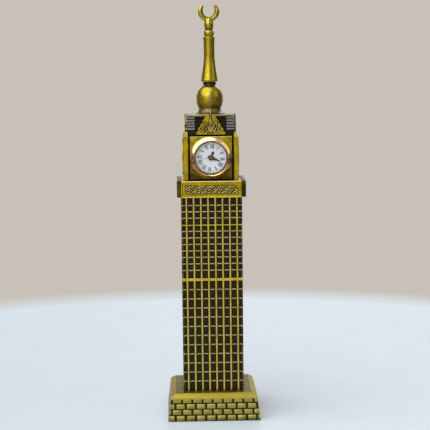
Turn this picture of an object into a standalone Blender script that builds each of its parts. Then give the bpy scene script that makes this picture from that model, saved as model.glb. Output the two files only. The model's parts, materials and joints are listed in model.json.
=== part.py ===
"""Souvenir clock tower: cast panels clamped on one tie rod, a turned finial and a quartz clock insert.

Frame: metres, +Z up, origin under the middle of the base, the clock face looks along -Y.
Sizes are written in millimetres times MM. A "face frame" has x to the right, y up and z forward
from the tower's axis, so every side of the tower is drawn the same way and then turned into place.
"""

import math

import bmesh
import bpy
from mathutils import Matrix, Vector

MM = 0.001
FIT = 0.3 * MM  # gap left where two castings meet
ROUND = 48  # sides of an ordinary round piece
FINE_ROUND = 64
SMALL_ROUND = 20

# Heights of the tower's storeys
BASE_RIM_Z = 0.4 * MM
BASE_BRICK_TOP_Z = 15.1 * MM
BASE_TOP_Z = 17.45 * MM
SHAFT_TOP_Z = 143.2 * MM
COLLAR_Z = 143.5 * MM
COLLAR_TOP_Z = 154.0 * MM
CLOCK_Z = 168.5 * MM
HOUSE_TOP_Z = 182.6 * MM
PIER_Z = 185.5 * MM
BELFRY_TOP_Z = 194.4 * MM
ROOF_TOP_Z = 196.0 * MM
DOME_TOP_Z = 214.2 * MM
SPIRE_TOP_Z = 245.1 * MM
CRESCENT_Z = 261.5 * MM

# Half widths of the square storeys
BASE_HALF = 29.7 * MM
BASE_BRICK_TOP_HALF = 27.9 * MM
BASE_TOP_HALF = 24.5 * MM
SHAFT_HALF = 19.5 * MM
COLLAR_HALF = 19.1 * MM
PLAQUE_FACE = 22.1 * MM
PLAQUE_HALF = 19.25 * MM
HOUSE_HALF = 17.6 * MM
PIER_HALF = 15.3 * MM
ROOF_HALF = 15.5 * MM

# Shaft panel
PANEL_RELIEF = 1.0 * MM
PANEL_BACK = 17.3 * MM
MULLIONS = 8
MULLION_PITCH = 4.6 * MM
MULLION_WIDTH = 1.4 * MM
CORNER_STRIP = 1.1 * MM
BANDS = ((90.5 * MM, 2.1 * MM), (125.7 * MM, 1.0 * MM))  # middle height and width of each

# Hardware
ROD_R = 2.0 * MM
ROD_HOLE_R = 2.3 * MM
STUD_R = 1.1 * MM
STUD_HOLE_R = 1.4 * MM

# Clock insert: radii, and distances forward from the tower's axis
BORE_R = 12.2 * MM
PANEL_FACE = 17.3 * MM
BEZEL_R = 13.5 * MM
BEZEL_MOUTH_R = 10.55 * MM
CASE_R = 11.4 * MM
CASE_REAR_R = 9.9 * MM
DIAL_FACE = 16.55 * MM
HOUR_HAND_AT = 16.85 * MM
MINUTE_HAND_AT = 17.35 * MM
SECOND_HAND_AT = 17.8 * MM
HAND_THICK = 0.2 * MM
MOTION_MODULE = 0.2 * MM
TRAIN_MODULE = 0.15 * MM
MINUTE_WHEEL_ANGLE = math.radians(225)
STEP_WHEEL_ANGLE = math.radians(-60)
ROTOR_ANGLE = math.radians(-10)  # from the step wheel's centre
CANNON_TEETH, MINUTE_TEETH = 10, 30
MINUTE_PINION_TEETH, HOUR_TEETH = 8, 32
ROTOR_TEETH, STEP_TEETH = 6, 30
STEP_PINION_TEETH, SECONDS_TEETH = 8, 48
STEM_AT = 11.4 * MM

# Time shown, clockwise from twelve
HOUR_ANGLE = math.radians(21)
MINUTE_ANGLE = math.radians(110)
SECOND_ANGLE = math.radians(266)

FACE = Matrix.Rotation(math.radians(90), 4, "X")
CLOCK = Matrix.Translation((0, 0, CLOCK_Z)) @ FACE
SIDES = {"front": 0, "right": 90, "back": 180, "left": 270}
CORNERS = {"front_right": 0, "back_right": 90, "back_left": 180, "front_left": 270}


def face_frame(side):
    """Face frame of one side of the tower, with y counted from the ground."""
    return Matrix.Rotation(math.radians(SIDES[side]), 4, "Z") @ FACE


# Scene, materials and bodies

for old in list(bpy.data.objects):
    bpy.data.objects.remove(old)


def make_material(name, colour, roughness, metallic):
    made = bpy.data.materials.new(name)
    made.use_nodes = True
    shader = made.node_tree.nodes["Principled BSDF"]
    shader.inputs["Base Color"].default_value = (*colour, 1)
    shader.inputs["Roughness"].default_value = roughness
    shader.inputs["Metallic"].default_value = metallic
    made.diffuse_color = (*colour, 1)
    return made


BRASS = make_material("antique_brass", (0.46, 0.36, 0.08), 0.35, 1.0)
GOLD = make_material("polished_gold", (0.90, 0.62, 0.25), 0.12, 1.0)
STEEL = make_material("zinc_plated_steel", (0.62, 0.62, 0.60), 0.35, 1.0)
FELT = make_material("dark_felt", (0.05, 0.10, 0.06), 0.95, 0.0)
GLASS = make_material("mineral_glass", (0.95, 0.97, 0.98), 0.03, 0.0)
ENAMEL = make_material("white_dial", (0.88, 0.89, 0.92), 0.4, 0.0)
BLACK = make_material("black_lacquer", (0.02, 0.02, 0.02), 0.35, 0.0)
RUBBER = make_material("black_rubber", (0.03, 0.03, 0.03), 0.7, 0.0)
PLASTIC = make_material("moulded_plastic", (0.10, 0.10, 0.11), 0.5, 0.0)
COPPER = make_material("copper_winding", (0.62, 0.27, 0.12), 0.4, 1.0)
BOARD = make_material("circuit_board", (0.05, 0.22, 0.10), 0.5, 0.0)


def make_body(name, frame):
    """An empty on a moving body's axis, for the pieces that move together."""
    empty = bpy.data.objects.new(name, None)
    empty.matrix_world = frame
    bpy.context.scene.collection.objects.link(empty)
    return empty


# Shape helpers


def finish(name, bm, material, frame, body=None):
    """Turns a bmesh drawn in its own frame into a placed, smooth-shaded object."""
    bmesh.ops.remove_doubles(bm, verts=bm.verts, dist=1e-7)
    bmesh.ops.recalc_face_normals(bm, faces=bm.faces)
    mesh = bpy.data.meshes.new(name)
    bm.to_mesh(mesh)
    bm.free()
    mesh.materials.append(material)
    mesh.shade_smooth()
    mesh.set_sharp_from_angle(angle=math.radians(35))
    made = bpy.data.objects.new(name, mesh)
    bpy.context.scene.collection.objects.link(made)
    made.matrix_world = frame
    if body is not None:
        made.parent = body
        made.matrix_parent_inverse = body.matrix_world.inverted()
    return made


def join(target, bm, frame, operation):
    """Adds a Boolean to target with a hidden helper made from bm."""
    helper = finish(f"{target.name}_{operation.lower()}_{len(target.modifiers)}", bm, BRASS, frame)
    helper.hide_render = True
    helper.display_type = "WIRE"
    boolean = target.modifiers.new(operation.title(), "BOOLEAN")
    boolean.operation = operation
    boolean.object = helper
    boolean.solver = "EXACT"
    return target


def turned(profile, steps, closed=False, start=0.0):
    """A profile of (radius, height) points turned about Z. An open profile ends on the axis."""
    bm = bmesh.new()
    swing = Matrix.Rotation(start, 3, "Z")
    points = [bm.verts.new(swing @ Vector((radius, 0, height))) for radius, height in profile]
    ends = list(zip(points, points[1:]))
    if closed:
        ends.append((points[-1], points[0]))
    edges = [bm.edges.new(pair) for pair in ends]
    bmesh.ops.spin(
        bm, geom=points + edges, axis=(0, 0, 1), cent=(0, 0, 0), angle=math.tau, steps=steps, use_merge=True
    )
    bmesh.ops.remove_doubles(bm, verts=bm.verts, dist=1e-7)
    bmesh.ops.dissolve_degenerate(bm, edges=bm.edges, dist=1e-8)
    return bm


def square_turned(profile, closed=False):
    """The same for a square piece, with half widths in place of radii."""
    return turned([(half * math.sqrt(2), z) for half, z in profile], 4, closed, math.radians(45))


def slab(half, low, high):
    """A square plate centred on the axis."""
    return square_turned([(0, low), (half, low), (half, high), (0, high)])


def disc(radius, low, high, steps=ROUND, hole=0.0):
    if hole:
        return turned([(hole, low), (radius, low), (radius, high), (hole, high)], steps, closed=True)
    return turned([(0, low), (radius, low), (radius, high), (0, high)], steps)


def prism(outline, low, high):
    """A flat outline of (x, y) points extruded along Z."""
    bm = bmesh.new()
    face = bm.faces.new([bm.verts.new((x, y, low)) for x, y in outline])
    grown = bmesh.ops.extrude_face_region(bm, geom=[face])["geom"]
    lifted = [item for item in grown if isinstance(item, bmesh.types.BMVert)]
    bmesh.ops.translate(bm, verts=lifted, vec=(0, 0, high - low))
    return bm


def block(x, y, z):
    """A box from three (low, high) pairs."""
    return prism([(x[0], y[0]), (x[1], y[0]), (x[1], y[1]), (x[0], y[1])], *z)


def four_fold(quarter):
    """A square plan from the points of its front right corner."""
    outline = []
    for turn in range(4):
        swing = Matrix.Rotation(math.radians(90 * turn), 2)
        outline += [tuple(swing @ Vector(point)) for point in quarter]
    return outline


def front_face(bm):
    return max(bm.faces, key=lambda face: face.calc_center_median().z)


def rod_cutter():
    return disc(ROD_HOLE_R, -1 * MM, 200 * MM, SMALL_ROUND)


def cut_rod_hole(target):
    return join(target, rod_cutter(), Matrix.Identity(4), "DIFFERENCE")


UPRIGHT = Matrix.Identity(4)


# Base


def make_base():
    felt_half, felt_top = 26.9 * MM, 1.0 * MM
    finish("felt_pad", slab(felt_half, 0, felt_top), FELT, UPRIGHT)

    spigot_half, spigot_top = 16.8 * MM, 20.2 * MM
    pocket_half, pocket_top = 25.4 * MM, 8.0 * MM
    mouth_half, ledge_z = 27.2 * MM, felt_top + FIT
    plinth = [
        (0, spigot_top),
        (spigot_half, spigot_top),
        (spigot_half, BASE_TOP_Z),
        (BASE_TOP_HALF, BASE_TOP_Z),
        (BASE_BRICK_TOP_HALF, BASE_BRICK_TOP_Z),
        (BASE_HALF, BASE_RIM_Z),
        (mouth_half, BASE_RIM_Z),
        (mouth_half, ledge_z),
        (pocket_half, ledge_z),
        (pocket_half, pocket_top),
        (0, pocket_top),
    ]
    cut_rod_hole(finish("base_plinth", square_turned(plinth), BRASS, UPRIGHT))

    plate_half, plate_top = pocket_half - FIT, pocket_top - FIT
    plate_low = plate_top - 1.2 * MM
    cut_rod_hole(finish("base_plate", slab(plate_half, plate_low, plate_top), STEEL, UPRIGHT))

    washer_low = plate_low - FIT - 0.8 * MM
    finish("rod_washer", disc(4.5 * MM, washer_low, plate_low - FIT, 32, ROD_HOLE_R), STEEL, UPRIGHT)
    nut_top, nut_height, nut_corner_r = washer_low - FIT, 3.2 * MM, 4.04 * MM
    nut = disc(nut_corner_r, nut_top - nut_height, nut_top, 6)
    cut_rod_hole(finish("rod_nut", nut, STEEL, UPRIGHT))
    finish("tie_rod", disc(ROD_R, 1.5 * MM, 209 * MM, SMALL_ROUND), STEEL, UPRIGHT)


# Shaft


def panel_outline():
    """Plan of a shaft panel as (x, forward) points: mitred ends, corner strips and mullions."""
    floor = SHAFT_HALF - PANEL_RELIEF
    mitre = 0.15 * MM
    edge = SHAFT_HALF - mitre
    points = [(edge, SHAFT_HALF), (edge - CORNER_STRIP, SHAFT_HALF), (edge - CORNER_STRIP, floor)]
    for i in reversed(range(MULLIONS)):
        middle = (i - (MULLIONS - 1) / 2) * MULLION_PITCH
        right, left = middle + MULLION_WIDTH / 2, middle - MULLION_WIDTH / 2
        points += [(right, floor), (right, SHAFT_HALF), (left, SHAFT_HALF), (left, floor)]
    points += [(CORNER_STRIP - edge, floor), (CORNER_STRIP - edge, SHAFT_HALF), (-edge, SHAFT_HALF)]
    back = PANEL_BACK - mitre
    return points + [(-back, PANEL_BACK), (back, PANEL_BACK)]


def make_shaft():
    """Four panels. Each is drawn lying on its side, x across and y forward, and stood up."""
    low = BASE_TOP_Z + FIT
    for side in SIDES:
        frame = Matrix.Rotation(math.radians(SIDES[side] + 180), 4, "Z")
        panel = finish(f"shaft_panel_{side}", prism(panel_outline(), low, SHAFT_TOP_Z), BRASS, frame)
        bite = 0.1 * MM
        reach = SHAFT_HALF - FIT / 2 - CORNER_STRIP + bite
        forward = (SHAFT_HALF - PANEL_RELIEF - bite, SHAFT_HALF - bite)
        for height, width in BANDS:
            band = block((-reach, reach), forward, (height - width / 2, height + width / 2))
            join(panel, band, frame, "UNION")


# Collar


def make_collar():
    wall_half, lip_half, lip_z, deck_under = 16.9 * MM, 12.5 * MM, 140.5 * MM, 151.5 * MM
    body = [
        (0, COLLAR_TOP_Z),
        (COLLAR_HALF, COLLAR_TOP_Z),
        (COLLAR_HALF, COLLAR_Z),
        (wall_half, COLLAR_Z),
        (wall_half, lip_z),
        (lip_half, lip_z),
        (lip_half, deck_under),
        (0, deck_under),
    ]
    cut_rod_hole(finish("collar_body", square_turned(body), BRASS, UPRIGHT))
    border, slope, sink = 0.9 * MM, 0.3 * MM, 0.45 * MM
    for side in SIDES:
        across, up = (-PLAQUE_HALF, PLAQUE_HALF), (COLLAR_Z, COLLAR_TOP_Z)
        bm = block(across, up, (COLLAR_HALF + FIT, PLAQUE_FACE))
        bmesh.ops.inset_region(bm, faces=[front_face(bm)], thickness=border)
        bmesh.ops.inset_region(bm, faces=[inner_face(bm)], thickness=slope, depth=-sink)
        finish(f"collar_plaque_{side}", bm, BRASS, face_frame(side))


def inner_face(bm):
    """The widest of the foremost faces: the one that an inset left in the middle."""
    foremost = front_face(bm).calc_center_median().z
    level = [face for face in bm.faces if abs(face.calc_center_median().z - foremost) < 1e-7]
    return max(level, key=lambda face: face.calc_area())


# Clock house

PILASTER_SIDE = 3.4 * MM


def make_pilasters():
    low, neck, top = COLLAR_TOP_Z + FIT, 183.4 * MM, 185.2 * MM
    half = PILASTER_SIDE / 2
    centre = HOUSE_HALF - half
    profile = [(0, top), (0.5 * half, top), (half, neck), (half, low), (0, low)]
    for corner, turn in CORNERS.items():
        frame = Matrix.Rotation(math.radians(turn), 4, "Z") @ Matrix.Translation((centre, -centre, 0))
        finish(f"pilaster_{corner}", square_turned(profile), BRASS, frame)


def clock_panel(side):
    """A plate between two pilasters with a raised block on its face."""
    half = HOUSE_HALF - PILASTER_SIDE - FIT
    wall_back, wall_face = 13.9 * MM, 15.9 * MM
    margin, rise = 0.55 * MM, PANEL_FACE - 15.9 * MM
    bm = block((-half, half), (COLLAR_TOP_Z + FIT, HOUSE_TOP_Z), (wall_back, wall_face))
    bmesh.ops.inset_region(bm, faces=[front_face(bm)], thickness=margin)
    raised = bmesh.ops.extrude_discrete_faces(bm, faces=[inner_face(bm)])["faces"]
    bmesh.ops.translate(bm, verts=raised[0].verts, vec=(0, 0, rise))
    return finish(f"clock_panel_{side}", bm, BRASS, face_frame(side))


def make_clock_panels():
    join(clock_panel("front"), disc(BORE_R, 10 * MM, 20 * MM, FINE_ROUND), CLOCK, "DIFFERENCE")
    blind_dial = [
        (0, 16.5 * MM),
        (12.6 * MM, 16.5 * MM),
        (12.6 * MM, 17.9 * MM),
        (12.2 * MM, 18.3 * MM),
        (11.0 * MM, 18.3 * MM),
        (10.6 * MM, 17.7 * MM),
        (0, 17.7 * MM),
    ]
    for side in ("right", "back", "left"):
        frame = Matrix.Rotation(math.radians(SIDES[side]), 4, "Z") @ CLOCK
        join(clock_panel(side), turned(blind_dial, ROUND), frame, "UNION")


# Belfry and roof

RECESS_HALF = 10.1 * MM
RECESS_WALL = 12.6 * MM


def make_belfry():
    """A block with a louvred pier at each corner and a recess in the middle of each side."""
    piers = four_fold(
        [
            (RECESS_HALF, -RECESS_WALL),
            (RECESS_HALF, -PIER_HALF),
            (PIER_HALF, -PIER_HALF),
            (PIER_HALF, -RECESS_HALF),
            (RECESS_WALL, -RECESS_HALF),
        ]
    )
    belfry = finish("belfry_block", prism(piers, PIER_Z, BELFRY_TOP_Z), BRASS, UPRIGHT)
    foot_half, notch, foot_z = 14.9 * MM, 13.8 * MM, HOUSE_TOP_Z + FIT
    foot = four_fold([(notch, -foot_half), (notch, -notch), (foot_half, -notch)])
    join(belfry, prism(foot, foot_z, PIER_Z + 0.5 * MM), UPRIGHT, "UNION")
    pocket_half, pocket_top = 9.5 * MM, 191 * MM
    join(belfry, slab(pocket_half, foot_z - 1 * MM, pocket_top), UPRIGHT, "DIFFERENCE")
    cut_rod_hole(belfry)
    roof_low, chamfer = BELFRY_TOP_Z + FIT, 0.3 * MM
    roof = [
        (0, roof_low),
        (ROOF_HALF, roof_low),
        (ROOF_HALF, ROOF_TOP_Z - chamfer),
        (ROOF_HALF - chamfer, ROOF_TOP_Z),
        (0, ROOF_TOP_Z),
    ]
    cut_rod_hole(finish("roof_slab", square_turned(roof), BRASS, UPRIGHT))


def crest_outline():
    """A pointed crest: straight leaning sides with lobed edges and a blunt tip."""
    low, high, half = 183.1 * MM, 196.1 * MM, 10.2 * MM
    taper, bluntness, lobes, lobe_depth, steps = 0.7, 16, 5, 0.9 * MM, 30
    right = [(half, low)]
    for i in range(1, steps):
        share = i / steps
        lean = half * (1 - taper * share) * math.sqrt(1 - share**bluntness)
        notch = lobe_depth * (1 - abs(math.sin(lobes * math.pi * share))) * (1 - 0.4 * share)
        right.append((lean - notch, low + (high - low) * share))
    return right + [(0, high)] + [(-x, y) for x, y in reversed(right)]


def make_crests():
    back, face = 15.8 * MM, 16.6 * MM
    lug_half, lug = 3.0 * MM, (187 * MM, 190.5 * MM)
    for side in SIDES:
        crest = finish(f"crest_{side}", prism(crest_outline(), back, face), BRASS, face_frame(side))
        tenon = block((-lug_half, lug_half), lug, (RECESS_WALL + FIT, back + 0.4 * MM))
        join(crest, tenon, face_frame(side), "UNION")


# Dome and finial


def dome_radius(z):
    """Half width of the onion dome: superellipses below and above its widest height."""
    widest, half_height = 205.4 * MM, 9.3 * MM
    share = abs(z - widest) / half_height
    power = 2.35 if z > widest else 2.2
    return 8.3 * MM * (1 - share**power) ** (1 / power)


def make_dome():
    foot_z, foot_r, waist_z, waist_r = ROOF_TOP_Z + FIT, 9.6 * MM, 199.4 * MM, 6.85 * MM
    socket_top = 210 * MM
    skirt = []
    for i in range(7):
        turn = math.radians(15 * i)
        radius = foot_r - (foot_r - waist_r) * math.sin(turn)
        skirt.append((radius, foot_z + (waist_z - foot_z) * (1 - math.cos(turn))))
    steps = 14
    heights = [waist_z + (DOME_TOP_Z - waist_z) * i / steps for i in range(1, steps + 1)]
    onion = [(dome_radius(z), z) for z in heights]
    bore = [(STUD_HOLE_R, DOME_TOP_Z), (STUD_HOLE_R, socket_top)]
    bore += [(ROD_HOLE_R, socket_top), (ROD_HOLE_R, foot_z)]
    finish("onion_dome", turned(skirt + onion + bore, ROUND, closed=True), BRASS, UPRIGHT)


def make_spire():
    """The turned cone on the dome, with a neck below and a flared lip above."""
    neck_r, foot_r, waist_r, lip_r = 4.2 * MM, 5.4 * MM, 3.45 * MM, 3.75 * MM
    neck_z, foot_z, waist_z, flare_z = DOME_TOP_Z + FIT, 217.3 * MM, 233 * MM, 240 * MM
    outside = [(neck_r, neck_z), (neck_r, neck_z + 1.7 * MM), (foot_r - 0.2 * MM, foot_z - 0.6 * MM)]
    steps = 10
    for i in range(steps):
        share = i / steps
        radius = waist_r + (foot_r - waist_r) * (1 - share) ** 1.4
        outside.append((radius, foot_z + (waist_z - foot_z) * share))
    outside += [(waist_r, waist_z), (waist_r, flare_z), (lip_r - 0.15 * MM, 243.2 * MM)]
    outside += [(lip_r, 244.3 * MM), (lip_r, SPIRE_TOP_Z)]
    bore = [(STUD_HOLE_R, SPIRE_TOP_Z), (STUD_HOLE_R, neck_z)]
    finish("spire_cone", turned(outside + bore, 40, closed=True), BRASS, UPRIGHT)


def bulge(low, high, end_r, swell, steps):
    """Points up the side of a bead that swells between two heights."""
    shares = [i / steps for i in range(steps + 1)]
    return [(end_r + swell * math.sin(math.pi * share), low + (high - low) * share) for share in shares]


def make_beads():
    ring_low, ring_high = SPIRE_TOP_Z + FIT, 249.3 * MM
    ring = bulge(ring_low, ring_high, 2.6 * MM, 0.75 * MM, 8)
    ring += [(STUD_HOLE_R, ring_high), (STUD_HOLE_R, ring_low)]
    finish("ring_bead", turned(ring, 32, closed=True), BRASS, UPRIGHT)

    vase_low, vase_top, bore_top = ring_high + FIT, 257.9 * MM, 253.9 * MM
    belly = [(2.65, 250.6), (2.9, 251.8), (2.98, 253.0), (2.85, 254.2), (2.55, 255.4)]
    belly += [(2.1, 256.5), (1.3, 257.4)]
    vase = [(0, bore_top), (STUD_HOLE_R, bore_top), (STUD_HOLE_R, vase_low), (2.3 * MM, vase_low)]
    vase += [(radius * MM, z * MM) for radius, z in belly]
    vase += [(0, vase_top)]
    slot = block((-5 * MM, 5 * MM), (-1.45 * MM, 1.45 * MM), (254.25 * MM, 259 * MM))
    join(finish("vase_bead", turned(vase, 32), BRASS, UPRIGHT), slot, UPRIGHT, "DIFFERENCE")
    finish("finial_stud", disc(STUD_R, 210.6 * MM, 253.6 * MM, 16), STEEL, UPRIGHT)


def make_crescent():
    """A crescent swept round an arc: a lens-shaped section that thins towards both tips."""
    arc_r, thick, opening, steps = 5.3 * MM, 1.15 * MM, math.radians(82), 30
    bm = bmesh.new()
    rings = []
    for i in range(steps + 1):
        share = 2 * i / steps - 1
        angle = -math.pi / 2 + share * (math.pi - opening / 2)
        thin = 1 - max(0, abs(share) - 0.66) / 0.34
        wide = 0.2 * MM + 1.4 * MM * math.sqrt(max(0, thin))
        deep = thick * (0.45 + 0.55 * thin)
        out = Vector((math.cos(angle), 0, math.sin(angle)))
        side = Vector((0, 1, 0))
        section = [(1, 0), (0.5, 0.8), (-0.5, 0.8), (-1, 0), (-0.5, -0.8), (0.5, -0.8)]
        rings.append([bm.verts.new(out * (arc_r + a * wide) + side * (b * deep)) for a, b in section])
    for first, second in zip(rings, rings[1:]):
        for k in range(len(first)):
            after = (k + 1) % len(first)
            bm.faces.new((first[k], first[after], second[after], second[k]))
    bm.faces.new(rings[0])
    bm.faces.new(rings[-1])
    finish("crescent", bm, BRASS, Matrix.Translation((0, 0, CRESCENT_Z)))


# Clock insert


def make_case(body):
    bezel_back, lip_back = PANEL_FACE + FIT, 19.4 * MM
    seat_r = CASE_R + 0.25 * MM
    bezel = [
        (seat_r, bezel_back),
        (BEZEL_R, bezel_back),
        (BEZEL_R, 18.55 * MM),
        (13.25 * MM, 19.0 * MM),
        (12.4 * MM, 19.65 * MM),
        (11.5 * MM, 20.25 * MM),
        (11.0 * MM, 20.5 * MM),
        (10.7 * MM, 20.45 * MM),
        (BEZEL_MOUTH_R, 20.2 * MM),
        (BEZEL_MOUTH_R, lip_back),
        (seat_r, lip_back),
    ]
    finish("bezel", turned(bezel, FINE_ROUND, closed=True), GOLD, CLOCK, body)
    finish("lens", disc(11.35 * MM, 18.35 * MM, 19.1 * MM), GLASS, CLOCK, body)
    ring_back, ring_front = 16.75 * MM, 18.1 * MM
    outer_r = 10.65 * MM
    rehaut = [(9.75 * MM, ring_back), (outer_r, ring_back), (outer_r, ring_front), (10.35 * MM, ring_front)]
    finish("dial_ring", turned(rehaut, ROUND, closed=True), GOLD, CLOCK, body)
    finish("dial", disc(10.6 * MM, DIAL_FACE - 0.35 * MM, DIAL_FACE, ROUND, 1.6 * MM), ENAMEL, CLOCK, body)

    inner_r, rear_inner_r, step_at, ledge_at, rear_at = 10.85 * MM, 9.1 * MM, 13.0 * MM, 13.5 * MM, 9.9 * MM
    case = [
        (inner_r, ring_front),
        (CASE_R, ring_front),
        (CASE_R, step_at),
        (CASE_REAR_R, step_at),
        (CASE_REAR_R, rear_at),
        (rear_inner_r, rear_at),
        (rear_inner_r, ledge_at),
        (inner_r, ledge_at),
    ]
    case = finish("insert_case", turned(case, ROUND, closed=True), PLASTIC, CLOCK, body)
    join(case, disc(0.75 * MM, 6 * MM, 13 * MM, 16), STEM, "DIFFERENCE")

    ribs = [(11.6 * MM, 17.2 * MM), (11.6 * MM, 14.2 * MM)]
    for i in range(3):
        crest_at = (14.55 + 1.15 * i) * MM
        ribs += [(11.8 * MM, crest_at - 0.3 * MM), (12.02 * MM, crest_at), (11.8 * MM, crest_at + 0.3 * MM)]
    finish("friction_ring", turned(ribs, ROUND, closed=True), RUBBER, CLOCK, body)


def make_case_back(body):
    skin, rim, spigot = (8.8 * MM, 9.6 * MM), CASE_REAR_R, (8.2 * MM, 8.8 * MM)
    spigot_end = 10.4 * MM
    back = [
        (0, skin[0]),
        (rim, skin[0]),
        (rim, skin[1]),
        (spigot[1], skin[1]),
        (spigot[1], spigot_end),
        (spigot[0], spigot_end),
        (spigot[0], skin[1]),
        (0, skin[1]),
    ]
    finish("case_back", turned(back, ROUND), STEEL, CLOCK, body)


# Hands and gears


def gear_outline(teeth, module, phase):
    """Trapezoid teeth with a fifth of a tooth of backlash; a tooth stands at the phase angle."""
    pitch_r = teeth * module / 2
    tip, root = pitch_r + 0.9 * module, pitch_r - 1.2 * module
    tooth = math.tau / teeth
    flank = ((root, -0.27), (tip, -0.1), (tip, 0.1), (root, 0.27))
    points = []
    for i in range(teeth):
        for radius, share in flank:
            angle = phase + (i + share) * tooth
            points.append((radius * math.cos(angle), radius * math.sin(angle)))
    return points


def facing_gap(angle, teeth):
    """Phase of a gear that shows a gap to a neighbour standing at this angle from it."""
    return angle + math.pi / teeth


def gear(name, outline, span, frame, body):
    return finish(name, prism(outline, *span), STEEL, frame, body)


def beside(frame, distance, angle):
    return frame @ Matrix.Translation((distance * math.cos(angle), distance * math.sin(angle), 0))


def hand(name, length, tail, width, hub_r, hole_r, at, angle, frame, body):
    """A lance-shaped hand drawn pointing to twelve and turned clockwise to its time."""
    blade = [
        (width * 0.28, -tail),
        (width * 0.5, 0),
        (width * 0.5, length * 0.3),
        (width * 0.12, length * 0.96),
        (0, length),
    ]
    outline = blade + [(-x, y) for x, y in reversed(blade[:-1])]
    swing = Matrix.Rotation(-angle, 2)
    outline = [tuple(swing @ Vector(point)) for point in outline]
    made = finish(name, prism(outline, at, at + HAND_THICK), BLACK, frame, body)
    join(made, disc(hub_r, at - 0.01 * MM, at + HAND_THICK + 0.02 * MM, 24), frame, "UNION")
    return join(made, disc(hole_r, at - 1 * MM, at + 1 * MM, 24), frame, "DIFFERENCE")


def make_hands(bodies):
    sizes = {  # length, tail, width, boss radius and hole radius in mm, then its place and its angle
        "hour": (4.6, 2.2, 1.5, 1.75, 1.4, HOUR_HAND_AT, HOUR_ANGLE),
        "minute": (7.0, 2.4, 1.3, 1.3, 0.78, MINUTE_HAND_AT, MINUTE_ANGLE),
        "second": (8.6, 2.6, 0.3, 0.65, 0.3, SECOND_HAND_AT, SECOND_ANGLE),
    }
    for name, (*lengths, at, angle) in sizes.items():
        hand(f"{name}_hand", *(length * MM for length in lengths), at, angle, CLOCK, bodies[name])


def make_motion_work(bodies):
    """Cannon pinion, minute wheel and hour wheel, which turn the hour hand once in twelve turns."""
    hour_span = (15.7 * MM, 16.0 * MM)
    cannon_span = (15.15 * MM, 15.55 * MM)
    tube_r, tube_bore = 0.72 * MM, 0.4 * MM
    cannon_teeth = gear_outline(CANNON_TEETH, MOTION_MODULE, MINUTE_WHEEL_ANGLE)
    cannon = gear("cannon_pinion", cannon_teeth, cannon_span, CLOCK, bodies["minute"])
    join(cannon, disc(tube_r, cannon_span[0] + 0.05 * MM, 17.65 * MM, 24), CLOCK, "UNION")
    join(cannon, disc(tube_bore, 14 * MM, 19 * MM, 16), CLOCK, "DIFFERENCE")

    hour_teeth = gear_outline(HOUR_TEETH, MOTION_MODULE, MINUTE_WHEEL_ANGLE)
    hour = gear("hour_wheel", hour_teeth, hour_span, CLOCK, bodies["hour"])
    join(hour, disc(1.35 * MM, hour_span[0] + 0.05 * MM, 17.15 * MM, 24), CLOCK, "UNION")
    join(hour, disc(1.0 * MM, 14 * MM, 19 * MM, 24), CLOCK, "DIFFERENCE")

    back_to_centre = MINUTE_WHEEL_ANGLE + math.pi
    minute_teeth = gear_outline(MINUTE_TEETH, MOTION_MODULE, facing_gap(back_to_centre, MINUTE_TEETH))
    minute_span = (15.2 * MM, 15.5 * MM)
    minute = gear("minute_wheel", minute_teeth, minute_span, MINUTE_WHEEL, bodies["minute_wheel"])
    pinion_phase = facing_gap(back_to_centre, MINUTE_PINION_TEETH)
    pinion = gear_outline(MINUTE_PINION_TEETH, MOTION_MODULE, pinion_phase)
    join(minute, prism(pinion, 15.45 * MM, 16.02 * MM), MINUTE_WHEEL, "UNION")
    join(minute, disc(0.36 * MM, 14 * MM, 19 * MM, 16), MINUTE_WHEEL, "DIFFERENCE")


def make_seconds_train(bodies):
    """Rotor, step wheel and seconds wheel: thirty rotor turns to one turn of the seconds hand."""
    seconds_span, step_span = (13.25 * MM, 13.55 * MM), (12.8 * MM, 13.05 * MM)
    arbor_r = 0.25 * MM
    seconds_teeth = gear_outline(SECONDS_TEETH, TRAIN_MODULE, STEP_WHEEL_ANGLE)
    seconds = gear("seconds_wheel", seconds_teeth, seconds_span, CLOCK, bodies["second"])
    join(seconds, disc(arbor_r, 13.0 * MM, 18.1 * MM, 16), CLOCK, "UNION")

    step_teeth = gear_outline(STEP_TEETH, TRAIN_MODULE, ROTOR_ANGLE)
    step = gear("step_wheel", step_teeth, step_span, STEP_WHEEL, bodies["step"])
    pinion_phase = facing_gap(STEP_WHEEL_ANGLE + math.pi, STEP_PINION_TEETH)
    pinion = gear_outline(STEP_PINION_TEETH, TRAIN_MODULE, pinion_phase)
    join(step, prism(pinion, 13.0 * MM, 13.6 * MM), STEP_WHEEL, "UNION")
    join(step, disc(arbor_r, 12.6 * MM, 14.8 * MM, 16), STEP_WHEEL, "UNION")

    rotor_teeth = gear_outline(ROTOR_TEETH, TRAIN_MODULE, facing_gap(ROTOR_ANGLE + math.pi, ROTOR_TEETH))
    rotor = gear("rotor", rotor_teeth, (12.5 * MM, 13.1 * MM), ROTOR, bodies["rotor"])
    join(rotor, disc(0.9 * MM, 12.0 * MM, 12.6 * MM, 24), ROTOR, "UNION")
    join(rotor, disc(0.2 * MM, 12.9 * MM, 14.8 * MM, 12), ROTOR, "UNION")


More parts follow.
